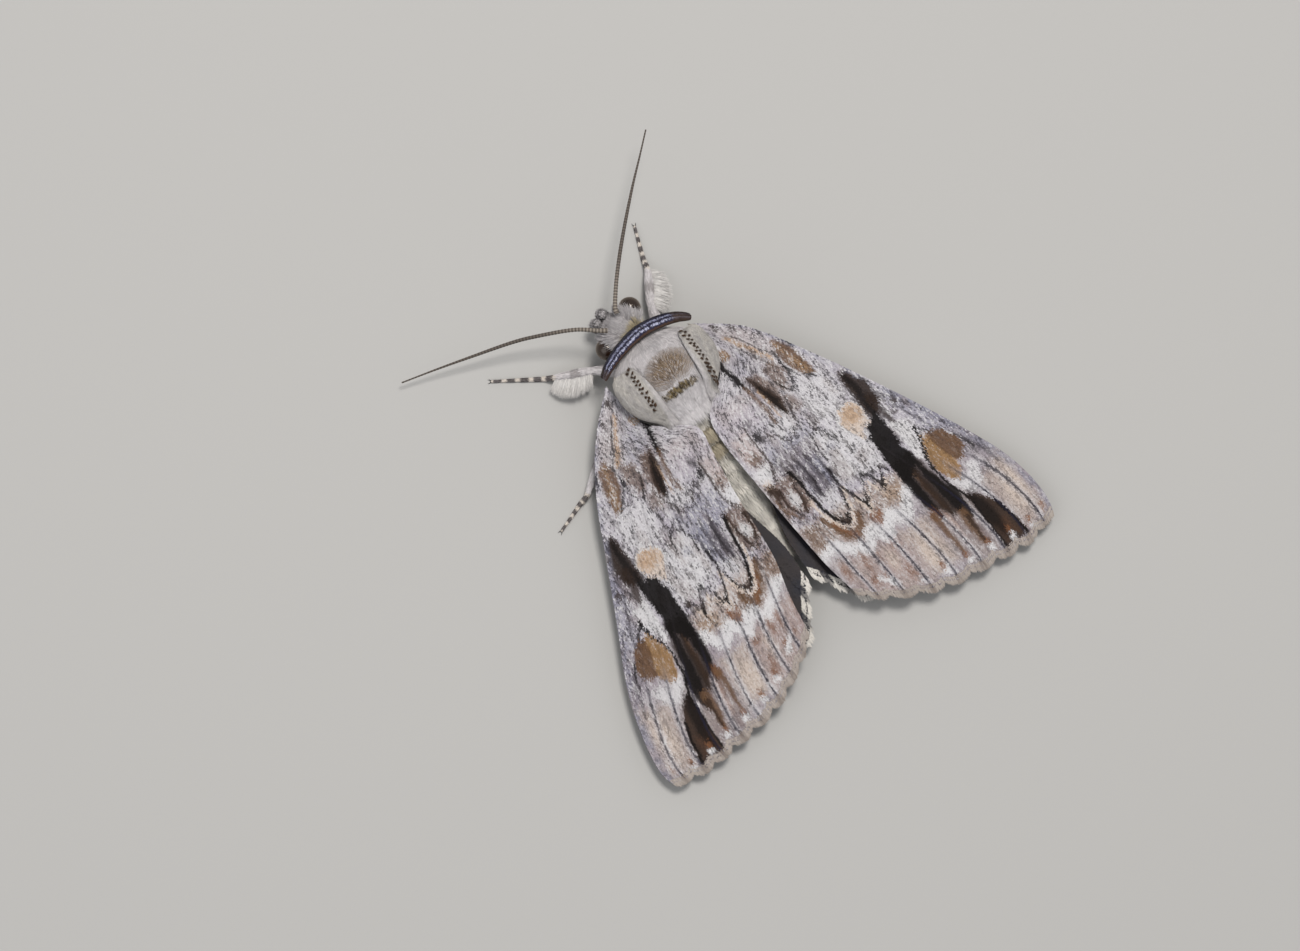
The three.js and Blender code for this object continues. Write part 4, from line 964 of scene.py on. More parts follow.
def wing_scales(wing, side, spacing, width, long, colours, seed, keep=None):
    """Shingled scales over the upper face: flat closed kites, each of one colour."""
    random = np.random.default_rng(seed)
    s, t = scale_rows(wing, spacing, width, random)
    s = scalloped(wing, s, t)
    if keep is not None:
        kept = keep(wing.plan(s, t))
        s, t = s[kept], t[kept]
    root = wing.at(s, t, SCALE_ROOTS)
    ahead = wing.at(np.minimum(s + long / wing.front.length, 1.0), t, SCALE_ROOTS)
    along = unit(ahead - root + random.uniform(-1, 1, (len(s), 3)) * [0.03, 0.02, 0])
    across = unit(np.cross(along, UP))
    size = random.uniform(0.8, 1.2, len(s))[:, None]
    middle = root + along * long * 0.55 * size
    tip_lift = random.uniform(0.03, 0.06, len(s))[:, None] * UP
    half = across * width * 0.75 * size
    tip = root + along * long * size + tip_lift
    corners = [root - UP * 0.02, middle - half + tip_lift * 0.4, middle + half + tip_lift * 0.4, tip]
    points = np.stack(corners, 1).reshape(-1, 3)
    points[:, 0] *= side
    faces = np.array([(0, 2, 1), (0, 1, 3), (0, 3, 2), (1, 2, 3)])[None]
    faces = faces + len(corners) * np.arange(len(s))[:, None, None]
    root = root * [side, 1, 1]
    along = along * [side, 1, 1]
    ragged = root + along * random.uniform(-0.3, 0.3, (len(s), 1))
    own = colours(ragged, s, t, seed)
    low, high = root[:, :2].min(0), root[:, :2].max(0)
    u, v = ((root[:, :2] - low) / (high - low).max()).T
    places = patch_places(u, v, len(corners))
    return points, faces.reshape(-1, 3), np.repeat(own, len(corners), 0), places


FRINGE_LAYERS = 3
FRINGE_STATIONS = np.array([0, 0.4, 0.8, 1.0])  # shares of a hair scale's length
FRINGE_THICKNESS = 0.3  # share of its width
FRINGE_WIDTHS = np.array([0.7, 1.0, 0.8, 0.0])  # shares of its width there


def margin_fringe(wing, side, count, length, first, colour_of, seed):
    """Hair scales along the outer margin, in overlapping layers."""
    random = np.random.default_rng(seed)
    t = np.sort(random.random(count * FRINGE_LAYERS)) * 0.985 + 0.0075
    layer = np.arange(len(t)) % FRINGE_LAYERS
    s0 = first - 0.012 + 0.004 * layer - scallop(wing, t)
    reach = length * random.uniform(0.85, 1.15, len(t)) * (1 - 0.12 * layer)
    reach = reach * (1 - 0.25 * scallop(wing, t) / NOTCH)
    root = wing.at(s0, t, FRINGE_ROOTS)
    along = unit(wing.at(s0 + 0.01, t, FRINGE_ROOTS) - wing.at(s0 - 0.01, t, FRINGE_ROOTS))
    along = unit(along + random.uniform(-1, 1, (len(t), 3)) * [0.125, 0.06, 0.03])
    centres = root[:, None] + along[:, None] * (reach[:, None] * FRINGE_STATIONS)[..., None]
    centres[..., 2] += (0.03 * layer)[:, None] - 0.08 * FRINGE_STATIONS
    sides = unit(np.cross(along, UP))[:, None]
    width = 0.2 * random.uniform(0.7, 1.3, len(t))[:, None] * FRINGE_WIDTHS
    points, faces, corners = blades(centres, sides, UP, width, FRINGE_THICKNESS)
    points[:, 0] *= side
    colours = blade_colours(*colour_of(t, random), FRINGE_STATIONS)
    return points, faces, colours, patch_places(t, s0 * 0.9, corners)


def fore_fringe_colours(t, random):
    """Grey-brown, a little darker at the veins' ends and towards the tips."""
    dark = np.zeros(len(t))
    for _, margin, _ in FORE_VEINS:
        dark = np.maximum(dark, np.exp(-((t - margin) / 0.014) ** 2))
    dark = np.clip(dark * 0.5 + 0.45 * random.random(len(t)), 0, 1)[:, None]
    own = mix(tint(170, 160, 152), tint(96, 84, 78), dark)
    return own, mix(own, tint(142, 132, 124), 0.6)


def hind_fringe_colours(t, random):
    """White, chequered dark at the veins' ends."""
    dark = np.zeros(len(t))
    for _, margin, _ in HIND_VEINS:
        dark = np.maximum(dark, np.exp(-((t - margin) / 0.035) ** 4))
    own = mix(tint(206, 200, 192), NIGHT, np.clip(dark * 1.2, 0, 1)[:, None])
    own = own * random.uniform(0.8, 1.05, (len(t), 1))
    return own, mix(own, tint(214, 208, 200), 0.35)


def under_the_gap(place):
    """The part of the hindwings that shows between the forewings."""
    return (place[:, 0] < 5) & (place[:, 1] > 8)


for name, side in SIDES:
    seed = 100 if side == 1 else 200
    forewing = FOREWINGS[name]
    points, faces, colours = membrane(forewing, side, rows=170, columns=120, colours=forewing_colours,
                                      seed=seed)
    make_piece(f"forewing_{name}_membrane", (points, faces, colours * MEMBRANE_DEPTH), WING_MEMBRANE,
               [f"forewing_{name}"])
    part = wing_scales(forewing, side, spacing=0.14, width=0.105, long=0.31,
                       colours=forewing_colours, seed=seed)
    for half, scales in enumerate(in_halves(part, 4)):
        make_piece(f"forewing_{name}_scales_{half}", scales, WING_SCALES)
    part = margin_fringe(forewing, side, count=420, length=1.25, first=MEMBRANE_END,
                         colour_of=fore_fringe_colours, seed=seed + 9)
    make_piece(f"forewing_{name}_fringe", part, FRINGE)

    part = membrane(HINDWING, side, rows=110, columns=70, colours=hindwing_colours, seed=seed + 20)
    make_piece(f"hindwing_{name}_membrane", part, DARK_SCALES, [f"hindwing_{name}"])
    part = wing_scales(HINDWING, side, spacing=0.2, width=0.15, long=0.4,
                       colours=hindwing_colours, seed=seed + 30, keep=under_the_gap)
    make_piece(f"hindwing_{name}_scales", part, DARK_SCALES)
    part = margin_fringe(HINDWING, side, count=330, length=1.7, first=0.955,
                         colour_of=hind_fringe_colours, seed=seed + 40)
    make_piece(f"hindwing_{name}_fringe", part, FRINGE)

# ---- Body ----

THORAX = Body(
    -0.4, 7.6,
    half=[(-0.4, 2.8), (0.8, 4.3), (2.6, 4.7), (4.6, 4.6), (6.4, 3.9), (7.6, 2.8)],
    top=[(-0.4, 6.9), (0.8, 7.8), (2.6, 8.3), (4.6, 8.3), (6.4, 7.5), (7.6, 6.3)],
    under=[(-0.4, 2.8), (0.8, 2.1), (2.6, 1.7), (4.6, 1.6), (6.4, 1.7), (7.6, 2.1)],
)
ABDOMEN_START, ABDOMEN_END = 7.9, 24.3
ABDOMEN_RINGS = 7


def ring_share(y):
    """How far a place lies along its own ring of the abdomen."""
    return ((y - ABDOMEN_START) / (ABDOMEN_END - ABDOMEN_START) * ABDOMEN_RINGS) % 1


ABDOMEN = Body(
    ABDOMEN_START, ABDOMEN_END,
    half=[(7.9, 2.7), (9.4, 3.4), (12, 3.5), (15, 3.0), (18, 2.0), (20.5, 1.25), (22.6, 0.9), (24.3, 0.45)],
    top=[(7.9, 4.9), (9.4, 5.25), (12, 5.05), (15, 4.5), (18, 3.7), (20.5, 3.05), (22.6, 2.6), (24.3, 2.2)],
    under=[(7.9, 2.0), (9.4, 1.6), (12, 1.3), (15, 1.1), (18, 1.0), (20.5, 1.0), (22.6, 1.15), (24.3, 1.45)],
    swell=lambda y: 1 + 0.035 * np.sin(math.pi * 2 * ring_share(y) - 0.6),
)
HEAD = Body(
    -4.4, -1.3,
    half=[(-4.4, 0.9), (-3.7, 1.6), (-2.8, 1.9), (-1.9, 1.75), (-1.3, 1.1)],
    top=[(-4.4, 4.8), (-3.7, 5.6), (-2.8, 6.0), (-1.9, 5.8), (-1.3, 5.2)],
    under=[(-4.4, 3.5), (-3.7, 3.0), (-2.8, 2.8), (-1.9, 2.9), (-1.3, 3.3)],
)


class Collar(Surface):
    """A band on edge along an arc over the neck: p from right to left, q from its front over its top."""

    start, end, step = 0.0, 1.0, 0.01

    def __init__(self):
        arc = np.array([(0, -1.5, 7.2), (2.4, -1.15, 6.85), (4.2, -0.55, 6.1), (5.5, 0.22, 5.4)])
        self.path = Path(np.vstack([arc[:0:-1] * [-1, 1, 1], arc]))

    def at(self, p, q):
        p, q = paired(p, q)
        share = np.clip(p, 0, 1)
        along = self.path.along(share)
        out = unit(np.stack([along[..., 1], -along[..., 0], np.full(p.shape, 0.25)], -1))
        up = unit(np.cross(out, along))
        size = (0.35 + 0.65 * np.sin(np.pi * share) ** 0.5)[..., None]
        section = out * 0.62 * np.cos(q)[..., None] + up * 0.8 * np.sin(q)[..., None]
        return self.path.at(share) + section * size


class Tegula(Surface):
    """The left flap over the wing's root: p tailward in mm, q round its section from its outer face."""

    start, end = 0.95, 6.7

    def at(self, p, q):
        p, q = paired(p, q)
        u = (p - self.start) / (self.end - self.start)
        narrow = 0.3 + 0.7 * np.maximum(np.sin(np.pi * np.clip(0.12 + u * 0.8, 0.02, 0.98)), 0.02) ** 0.6
        middle = mix(0.3, 1.02, 0.5 + 0.1 * u)
        half_angle = 0.36 * narrow
        angle = middle + half_angle * np.sin(q)
        flare = 0.4 * np.clip((middle - angle) / half_angle + 0.4, 0, 1)
        lift = 0.5 + flare + 0.25 * (1 + np.cos(q))
        y0 = np.minimum(p, 7.2)  # the thorax narrows to its end beyond this
        out = THORAX.at(y0, angle) + THORAX.normal(y0, angle) * lift[..., None]
        out[..., 1] = p
        return out


COLLAR = Collar()
TEGULA = Tegula()
PALP = Tube(
    [(0.55, -4.0, 2.35), (0.6, -5.0, 2.6), (0.6, -5.5, 3.4), (0.55, -5.45, 4.3)],
    lambda u: through([(0, 0.42), (0.5, 0.48), (1, 0.2)], u),
)


def speckle(base, other, amount, random, count):
    """Hair colours between two tones, with a little of each hair's own brightness."""
    share = np.clip(amount + random.uniform(-0.175, 0.175, count), 0, 1)[:, None]
    return mix(base, other, share) * random.uniform(0.85, 1.15, (count, 1))


def body_coat(surface, count, seed, span_p, span_q, run, rise, width, tones, turn=0.0):
    """A coat of even density over part of a body. tones(points, random) gives root and tip colours."""
    random = np.random.default_rng(seed)
    p = mix(*span_p, random.random(count))
    q = mix(*span_q, random.random(count))
    length = run * random.uniform(0.75, 1.25, count)
    sway = turn * np.cos(q) + random.uniform(-0.06, 0.06, count)
    up = rise * random.uniform(0.6, 1.4, count)
    wide = width * random.uniform(0.7, 1.3, count)
    own, tip = tones(surface.at(p, q), random)
    return coat(surface, p, q, length, sway, up, wide, own, tip)


def thorax_tones(points, random):
    """Pale lilac-grey in streaks, warmer low on the sides."""
    n = len(points)
    streak = noise(np.column_stack([np.abs(points[:, 0]) * 3, points[:, 1] * 0.9]), 1.0, 5)
    rgb = speckle(FUR_PALE, GREY, 0.3 + 0.3 * streak, random, n) * random.uniform(0.86, 1.08, (n, 1))
    low = smooth((4.6 - points[:, 2]) / 1.5)[:, None]
    rgb = mix(rgb, tint(178, 166, 156), 0.5 * low)
    # Painted shade at the hair roots (darker) and painted light at the tips (whiter).
    return rgb * 0.85, mix(rgb, WHITE, 0.2)


def disc_tones(reach, random):
    """Brown in the middle, greyer towards the rim."""
    n = len(reach)
    away = np.clip(smooth((reach - 0.5) / 0.5) * random.uniform(0.2, 1.1, n), 0, 1)[:, None]
    brown = mix(tint(76, 58, 42), tint(168, 148, 126), random.random((n, 1)))
    rgb = mix(brown, mix(FUR_PALE, GREY, 0.4), away)
    # Painted shade at the hair roots: they are darker than the tips.
    return rgb * 0.75, rgb


def crest_tones(points, random):
    """The crest: ochre brown hair, blackish at the tips."""
    n = len(points)
    rgb = speckle(tint(126, 106, 72), tint(80, 64, 42), 0.4, random, n)
    dark = (random.random(n) < 0.7)[:, None]
    return rgb, np.where(dark, tint(30, 23, 18), tint(160, 142, 102))


def mane_tones(points, random):
    rgb = speckle(FUR_PALE, GREY, 0.25, random, len(points))
    # Painted shade at the hair roots (darker) and painted light at the tips (whiter).
    return rgb * 0.9, mix(rgb, WHITE, 0.4)


def head_tones(points, random):
    """Grey, speckled pale and dark."""
    n = len(points)
    rgb = speckle(FUR_PALE, FUR_DARK, 0.45, random, n) * random.uniform(0.7, 1.05, (n, 1))
    # Painted light at the hair tips: they are whiter than the roots.
    return rgb, mix(rgb, WHITE, 0.12)


def nape_tones(points, random):
    """Cream hair where the head meets the collar."""
    rgb = speckle(tint(214, 200, 168), tint(150, 138, 118), 0.4, random, len(points))
    # Painted shade at the hair roots: they are darker than the tips.
    return rgb * 0.8, rgb


def abdomen_tones(points, random):
    """Olive grey with a paler hind edge to each ring, buff underneath."""
    n = len(points)
    edge = smooth((ring_share(points[:, 1]) - 0.6) / 0.25)
    rgb = speckle(tint(226, 220, 208), tint(172, 168, 158), 0.35, random, n)
    rgb = mix(rgb, tint(244, 238, 226), (0.75 * edge)[:, None])
    below = smooth((2.6 - points[:, 2]) / 1.2)[:, None]
    rgb = mix(rgb, tint(190, 178, 160), 0.6 * below)
    # Painted shade at the hair roots (darker) and painted light at the tips (paler).
    return rgb * 0.8, mix(rgb, PALE, 0.2)


def tuft_tones(points, random):
    rgb = speckle(tint(200, 188, 164), tint(132, 122, 106), 0.4, random, len(points))
    return rgb, mix(rgb, tint(96, 84, 70), 0.25 * random.random((len(points), 1)))


COLLAR_BANDS = [(0.0, tint(66, 56, 54)), (0.1, INK), (0.28, tint(150, 152, 178)), (0.36, INK),
                (0.46, tint(176, 178, 200)), (0.53, INK), (0.62, tint(84, 62, 48)), (0.74, tint(48, 36, 32)),
                (0.86, tint(84, 66, 54))]


def collar_tones(share, along, random):
    """Bands across the collar from its front: blue-black with two pale lines over the neck, brown behind."""
    n = len(share)
    rgb = np.zeros((n, 3))
    wobble = share + random.uniform(-0.02, 0.02, n)
    for start, colour in COLLAR_BANDS:
        rgb = np.where((wobble > start)[:, None], colour, rgb)
    shoulder = smooth((0.24 - along) / 0.06) + smooth((along - 0.88) / 0.06)
    rgb = mix(rgb, tint(70, 52, 42), 0.85 * shoulder[:, None])
    rgb = rgb * random.uniform(0.75, 1.25, (n, 1))
    return rgb, rgb


def tegula_tones(p, q, random):
    """Beige grey, like the back within the chequered line, darker along the outer edge."""
    n = len(p)
    x = TEGULA.at(p, q)[..., 0]
    streak = noise(np.column_stack([x * 3.2, p * 0.8]), 1.0, 6)
    rgb = speckle(tint(184, 178, 170), GREY, 0.3 + 0.35 * streak, random, n)
    rgb = mix(rgb, FUR_PALE * 0.95, 0.7 * smooth((3.0 - x) / 0.3)[:, None])
    rim = smooth((-0.6 - np.sin(q)) / 0.3)
    rgb = mix(rgb, tint(120, 108, 98), (0.6 * rim * random.random(n))[:, None])
    rgb = rgb * random.uniform(0.8, 1.1, (n, 1))
    # Painted shade at the hair roots (darker) and painted light at the tips (whiter).
    return rgb * 0.85, mix(rgb, WHITE, 0.12)


def round_back(x, p, above=0.0):
    """The angle round the thorax of a place x mm to the left of its middle."""
    return np.arccos(np.clip(x / (through(THORAX.half, p) + above), -1, 1))


def disc_coat():
    """Short brownish hair on the middle of the back, fanned forward from the crest."""
    random = np.random.default_rng(15)
    count = 3200
    reach = np.sqrt(random.random(count))
    way = random.uniform(0, 2 * math.pi, count)
    x = 2.25 * reach * np.cos(way)
    p = 3.6 + 1.6 * reach * np.sin(way)
    from_crest = unit(np.column_stack([x * 1.3, p - 5.8]))
    run = 0.7 * from_crest[:, 1]
    turn = -0.16 * from_crest[:, 0]
    own, tip = disc_tones(reach, random)
    rise = random.uniform(0.3, 0.47, count)
    return coat(THORAX, p, round_back(x, p), run, turn, rise, 0.07, own, tip)


def crest_coat():
    """A narrow jagged crest across the back, its hair blackish at the tips."""
    random = np.random.default_rng(13)
    count = 1500
    x = random.uniform(-2, 2.4, count)
    place = np.column_stack([x, np.zeros(count)])
    p = 4.75 + 0.035 * x**2 + 0.12 * noise(place, 0.35, 14) + 0.5 * random.random(count)
    taper = 1 - (np.abs(x - 0.2) / 2.5) ** 3
    run = random.uniform(0.35, 0.8, count) * (0.5 + 0.5 * taper)
    own, tip = crest_tones(place, random)
    rise = 0.2 + 0.25 * taper * random.random(count)
    return coat(THORAX, p, round_back(x, p), run, 0, rise, 0.08, own, tip)


def body_lofts():
    """The lofts of the body, sunk under their coats, with a neck and a waist that join them."""
    neck = Tube([(0, -2.0, 4.7), (0, 0.8, 4.9)], lambda u: np.full(np.shape(u), 1.6))
    waist = Tube([(0, 6.6, 3.9), (0, 9.4, 3.6)], lambda u: np.full(np.shape(u), 1.7))
    # Each loft: surface, rows, sides and height over the surface.
    parts = [
        loft_mesh(THORAX, 40, 48, -0.3),
        loft_mesh(ABDOMEN, 70, 40, -0.25),
        loft_mesh(COLLAR, 50, 20, -0.18),
        loft_mesh(neck, 12, 24, 0),
        loft_mesh(waist, 12, 24, 0),
        with_head(loft_mesh(HEAD, 24, 40, -0.25)),
    ]
    for _, side in SIDES:
        parts.append(on_side(loft_mesh(TEGULA, 40, 20, -0.12), side))
        parts.append(with_head(on_side(loft_mesh(PALP, 40, 20, -0.1), side)))
    return all_outward(parts)


def joined(points, faces, voxel, rounds):
    """Closed bodies that overlap, as one closed skin, by a voxel remesh that is then smoothed."""
    mesh = bpy.data.meshes.new("lofts")
    mesh.from_pydata(points, [], faces)
    lofts = bpy.data.objects.new("lofts", mesh)
    bpy.context.scene.collection.objects.link(lofts)
    remesh = lofts.modifiers.new("join", "REMESH")
    remesh.mode = "VOXEL"
    remesh.voxel_size = voxel
    soften = lofts.modifiers.new("soften", "SMOOTH")
    soften.iterations = rounds
    result = lofts.evaluated_get(bpy.context.evaluated_depsgraph_get()).to_mesh()
    result.calc_loop_triangles()
    points = np.zeros(len(result.vertices) * 3)
    result.vertices.foreach_get("co", points)
    faces = np.zeros(len(result.loop_triangles) * 3, np.int32)
    result.loop_triangles.foreach_get("vertices", faces)
    bpy.data.objects.remove(lofts)
    return points.reshape(-1, 3), faces.reshape(-1, 3)


def skin_tones(points):
    """The skin's colours: those of the coat over it, darker."""
    random = np.random.default_rng(3)
    rgb = thorax_tones(points, random)[0] * 0.6
    behind = (points[:, 1] > ABDOMEN_START)[:, None]
    rgb = np.where(behind, abdomen_tones(points, random)[0] * 0.7, rgb)
    ahead = (points[:, 1] < -0.9)[:, None]
    return np.where(ahead, tint(92, 86, 84), rgb)


points, faces = joined(*body_lofts(), voxel=0.17, rounds=2)
make_piece("body_skin", (points, faces, skin_tones(points)), SKIN,
           ["thorax", "abdomen", "head", "collar", "tegula_left", "tegula_right", "palp_left", "palp_right"])

# Spans round a body, in radians up from its left side.
FULL = (0, 2 * math.pi)
TOP = (0.15, math.pi - 0.15)
LEFT_SIDE = (-0.25, 0.35)
RIGHT_SIDE = (math.pi - 0.35, math.pi + 0.25)


def about_top(edge):
    """The span over the top that leaves out an angle at either side."""
    return (edge, math.pi - edge)


# Each coat: surface, hairs, seed, span along, span round, run, rise, width, tones and turn.
part = together([
    body_coat(THORAX, 7000, 11, (-0.6, 7.3), FULL, 1.3, 0.2, 0.1, thorax_tones, 0.05),
    body_coat(THORAX, 17000, 12, (-0.8, 7.0), TOP, 1.5, 0.26, 0.07, thorax_tones, 0.05),
    disc_coat(),
    crest_coat(),
    body_coat(THORAX, 3200, 14, (5.2, 7.3), TOP, 2.2, 0.3, 0.08, mane_tones, 0.06),
])
for half, fur in enumerate(in_halves(part, LOCK_CORNERS)):
    make_piece(f"thorax_fur_{half}", fur, FUR)

part = together([
    body_coat(HEAD, 7500, 21, (-1.0, -4.3), FULL, -0.7, 0.2, 0.07, head_tones),
    body_coat(HEAD, 1200, 22, (-2.9, -4.1), about_top(0.5), -0.7, 0.35, 0.07, head_tones),
    # Brows over the eyes, left and right.
    body_coat(HEAD, 900, 23, (-1.9, -4.0), (0.45, 1.15), -0.5, 0.95, 0.07, head_tones, -0.75),
    body_coat(HEAD, 900, 24, (-1.9, -4.0), (math.pi - 1.15, math.pi - 0.45), -0.5, 0.95, 0.07,
              head_tones, -0.75),
    body_coat(HEAD, 700, 25, (-1.2, -2.2), about_top(0.7), -0.6, 0.75, 0.07, nape_tones),
])
make_piece("head_fur", with_head(part), FUR)

part = together([
    body_coat(ABDOMEN, 11000, 31, (8.0, 24.0), FULL, 1.0, 0.14, 0.09, abdomen_tones),
    # Tufts along the middle of the first rings.
    body_coat(ABDOMEN, 500, 32, (10.1, 10.6), about_top(1.15), 1.2, 0.75, 0.1, tuft_tones),
    body_coat(ABDOMEN, 450, 33, (11.9, 12.4), about_top(1.2), 1.1, 0.7, 0.1, tuft_tones),
    body_coat(ABDOMEN, 300, 34, (14.0, 14.4), about_top(1.3), 1.0, 0.5, 0.1, abdomen_tones),
    # The brush at the end and the fringes of the sides.
    body_coat(ABDOMEN, 1300, 35, (22.2, 24.1), FULL, 1.9, 0.16, 0.1, abdomen_tones),
    body_coat(ABDOMEN, 1200, 36, (9.4, 20.5), LEFT_SIDE, 1.5, 0.4, 0.1, abdomen_tones),
    body_coat(ABDOMEN, 1200, 37, (9.4, 20.5), RIGHT_SIDE, 1.5, 0.4, 0.1, abdomen_tones),
])
make_piece("abdomen_fur", part, FUR)


def collar_coat():
    """Short hair across the collar, laid from its front over its edge."""
    random = np.random.default_rng(41)
    count = 6500
    p = random.uniform(0.008, 0.992, count)
    q = random.uniform(-0.9, math.pi + 0.4, count)
    turn = 0.42 * random.uniform(0.8, 1.2, count)
    own, tip = collar_tones((q + turn + 0.2) / (math.pi + 0.6), p, random)
    run = random.uniform(-0.002, 0.002, count)
    return coat(COLLAR, p, q, run, turn, 0.1, 0.09, own, tip, sink=0.15)


make_piece("collar_fur", collar_coat(), FUR)

CHEQUER_LINES = [(2.9, 0.0, -0.05), (3.26, 0.5, 0.06)]  # mm from the middle of the back, phase and slant
CHEQUER_STEP = 0.42
DASH_HAIRS = 22


def chequer_coat(reach, phase, slant, end, random):
    """One line of dark dashes along the inner edge of the flap, each a bundle of short hair."""
    dash = np.arange(1.2, end, CHEQUER_STEP) + phase * CHEQUER_STEP
    dash = dash + random.uniform(-0.05, 0.05, len(dash))
    middle = reach + random.uniform(-0.07, 0.07, len(dash))
    p = np.repeat(dash, DASH_HAIRS) + random.uniform(-0.05, 0.05, len(dash) * DASH_HAIRS)
    x = np.repeat(middle, DASH_HAIRS) + random.uniform(-0.07, 0.07, len(p))
    own = speckle(BLACK, BROWN, 0.28, random, len(p))
    run = random.uniform(0.18, 0.3, len(p))
    turn = slant * random.random(len(p))
    rise = random.uniform(1.16, 1.22, len(p))
    return coat(THORAX, p, round_back(x, p, 0.25), run, turn, rise, 0.06, own, own * 0.8, sink=-0.95)


def tegula_coat(seed, chequer_end):
    """The flap's combed hair, with a chequered double line of dark hair."""
    random = np.random.default_rng(seed)
    count = 9000
    p = random.uniform(0.75, 6.6, count)
    q = random.uniform(-2.1, 2.1, count)
    run = 0.85 * random.uniform(0.75, 1.25, count)
    long = random.random(count) < 0.3
    run = np.where(long & (p > 3.6), 1.9, run)
    outer = smooth((-0.5 - q) / 0.8)
    inner = smooth((q - 1.0) / 0.8)
    run = run + 0.5 * outer * random.random(count)
    turn = (0.5 * inner - 0.5 * outer) * random.random(count)
    own, tip = tegula_tones(p + 0.5 * run, q, random)
    rise = random.uniform(0.06, 0.2, count)
    parts = [coat(TEGULA, p, q, run, turn, rise, 0.07, own, tip, sink=0.12)]
    for line in CHEQUER_LINES:
        parts.append(chequer_coat(*line, chequer_end, random))
    return together(parts)


CHEQUER_ENDS = {"left": 5.2, "right": 6.6}
TEGULA_SEEDS = {"left": 51, "right": 52}
for name, side in SIDES:
    seed = TEGULA_SEEDS[name]
    part = tegula_coat(seed, CHEQUER_ENDS[name])
    make_piece(f"tegula_{name}_fur", on_side(part, side), FUR)
    part = body_coat(PALP, 1400, seed + 10, (0.2, PALP.end - 0.02), FULL, 0.35, 0.25, 0.07, head_tones)
    make_piece(f"palp_{name}_fur", with_head(on_side(part, side)), FUR)

# ---- Eyes ----

EYE_FACET = 0.055  # mm across
EYE_FILL = 0.97  # share of the solid eye's radius


def eye_material():
    """Dark brown glossy facets over a faint lighter mottling."""
    material, nodes, link, shader = new_material("eye_facets")
    settle(shader, {"Roughness": 0.16, "Coat Weight": 0.4, "Coat Roughness": 0.05,
                    "Coat Tint": (1, 0.72, 0.45, 1)})
    place = nodes.new("ShaderNodeTexCoord")
    cloud = nodes.new("ShaderNodeTexNoise")
    settle(cloud, {"Scale": 900})
    link(place.outputs["Object"], cloud.inputs["Vector"])
    ramp = nodes.new("ShaderNodeValToRGB")
    ramp.color_ramp.elements[0].color = (*tint(10, 7, 6), 1)
    ramp.color_ramp.elements[1].color = (*tint(44, 28, 20), 1)
    link(cloud.outputs["Fac"], ramp.inputs["Fac"])
    link(ramp.outputs["Color"], shader.inputs["Base Color"])
    facets = nodes.new("ShaderNodeTexVoronoi")
    settle(facets, {"Scale": 1 / (EYE_FACET * MM)})
    link(place.outputs["Object"], facets.inputs["Vector"])
    raised = nodes.new("ShaderNodeBump")
    raised.invert = True
    settle(raised, {"Strength": 0.35, "Distance": 0.02 * MM})
    link(facets.outputs["Distance"], raised.inputs["Height"])
    link(raised.outputs["Normal"], shader.inputs["Normal"])
    return material


class Ball(Surface):
    """A ball: p down from its outer pole, q round."""

    start, end = 0.02, math.pi - 0.02

    def __init__(self, centre, radius):
        self.centre, self.radius = np.array(centre), radius

    def at(self, p, q):
        p, q = paired(p, q)
        out = np.stack([np.cos(p), np.sin(p) * np.sin(q), -np.sin(p) * np.cos(q)], -1)
        return self.centre + out * self.radius


EYES = eye_material()
for name, side in SIDES:
    points, faces = with_head(on_side(loft_mesh(Ball(EYE_CENTRE, EYE_RADIUS * EYE_FILL), 40, 56, 0), side))
    make_piece(f"eye_{name}_ball", (points, faces, np.zeros((len(points), 3))), EYES,
               [f"eye_{name}"])

# ---- Antennae ----


ANTENNA_SEGMENTS = 64


def antenna(line):
    """Many short segments, each a little swollen, with a pale scale ring at its base."""

    def radius(u):
        taper = through([(0, 0.24), (0.06, 0.2), (0.5, 0.16), (1, 0.07)], u)
        return taper * (1 + 0.14 * np.abs(np.sin(np.pi * ANTENNA_SEGMENTS * u)))

    rows, sides = ANTENNA_SEGMENTS * 4, 10
    points, faces = loft_mesh(Tube(line, radius), rows, sides, 0)
    share = np.append(np.repeat(np.linspace(0, 1, rows), sides), [0, 1])
    ring = np.abs(np.sin(np.pi * ANTENNA_SEGMENTS * share)) ** 2
    base = smooth((0.35 - share) / 0.3)
    rgb = mix(tint(52, 42, 36), tint(150, 140, 128), ((1 - ring) * (0.25 + 0.6 * base))[:, None])
    return points, faces, rgb


ANTENNA_LINES = {
    "left": [(2.3, -3.5, 6.05), (3.0, -4.0, 6.0), (5.0, -5.6, 5.6), (8.5, -7.4, 4.6), (10.8, -8.35, 3.9),
             (14.4, -9.5, 2.9), (18.0, -10.6, 2.1), (21.6, -11.6, 1.5)],
    "right": [(0.5, -4.35, 6.15), (0.2, -5.05, 6.15), (-1.6, -7.2, 6.1), (-4.5, -10.1, 5.9),
              (-8.4, -13.6, 5.5), (-11.0, -15.8, 5.6), (-13.2, -17.7, 5.8)],
}
for name, line in ANTENNA_LINES.items():
    make_piece(f"antenna_{name}_ringed", antenna(line), LIMB, [f"antenna_{name}"])

# ---- Legs ----

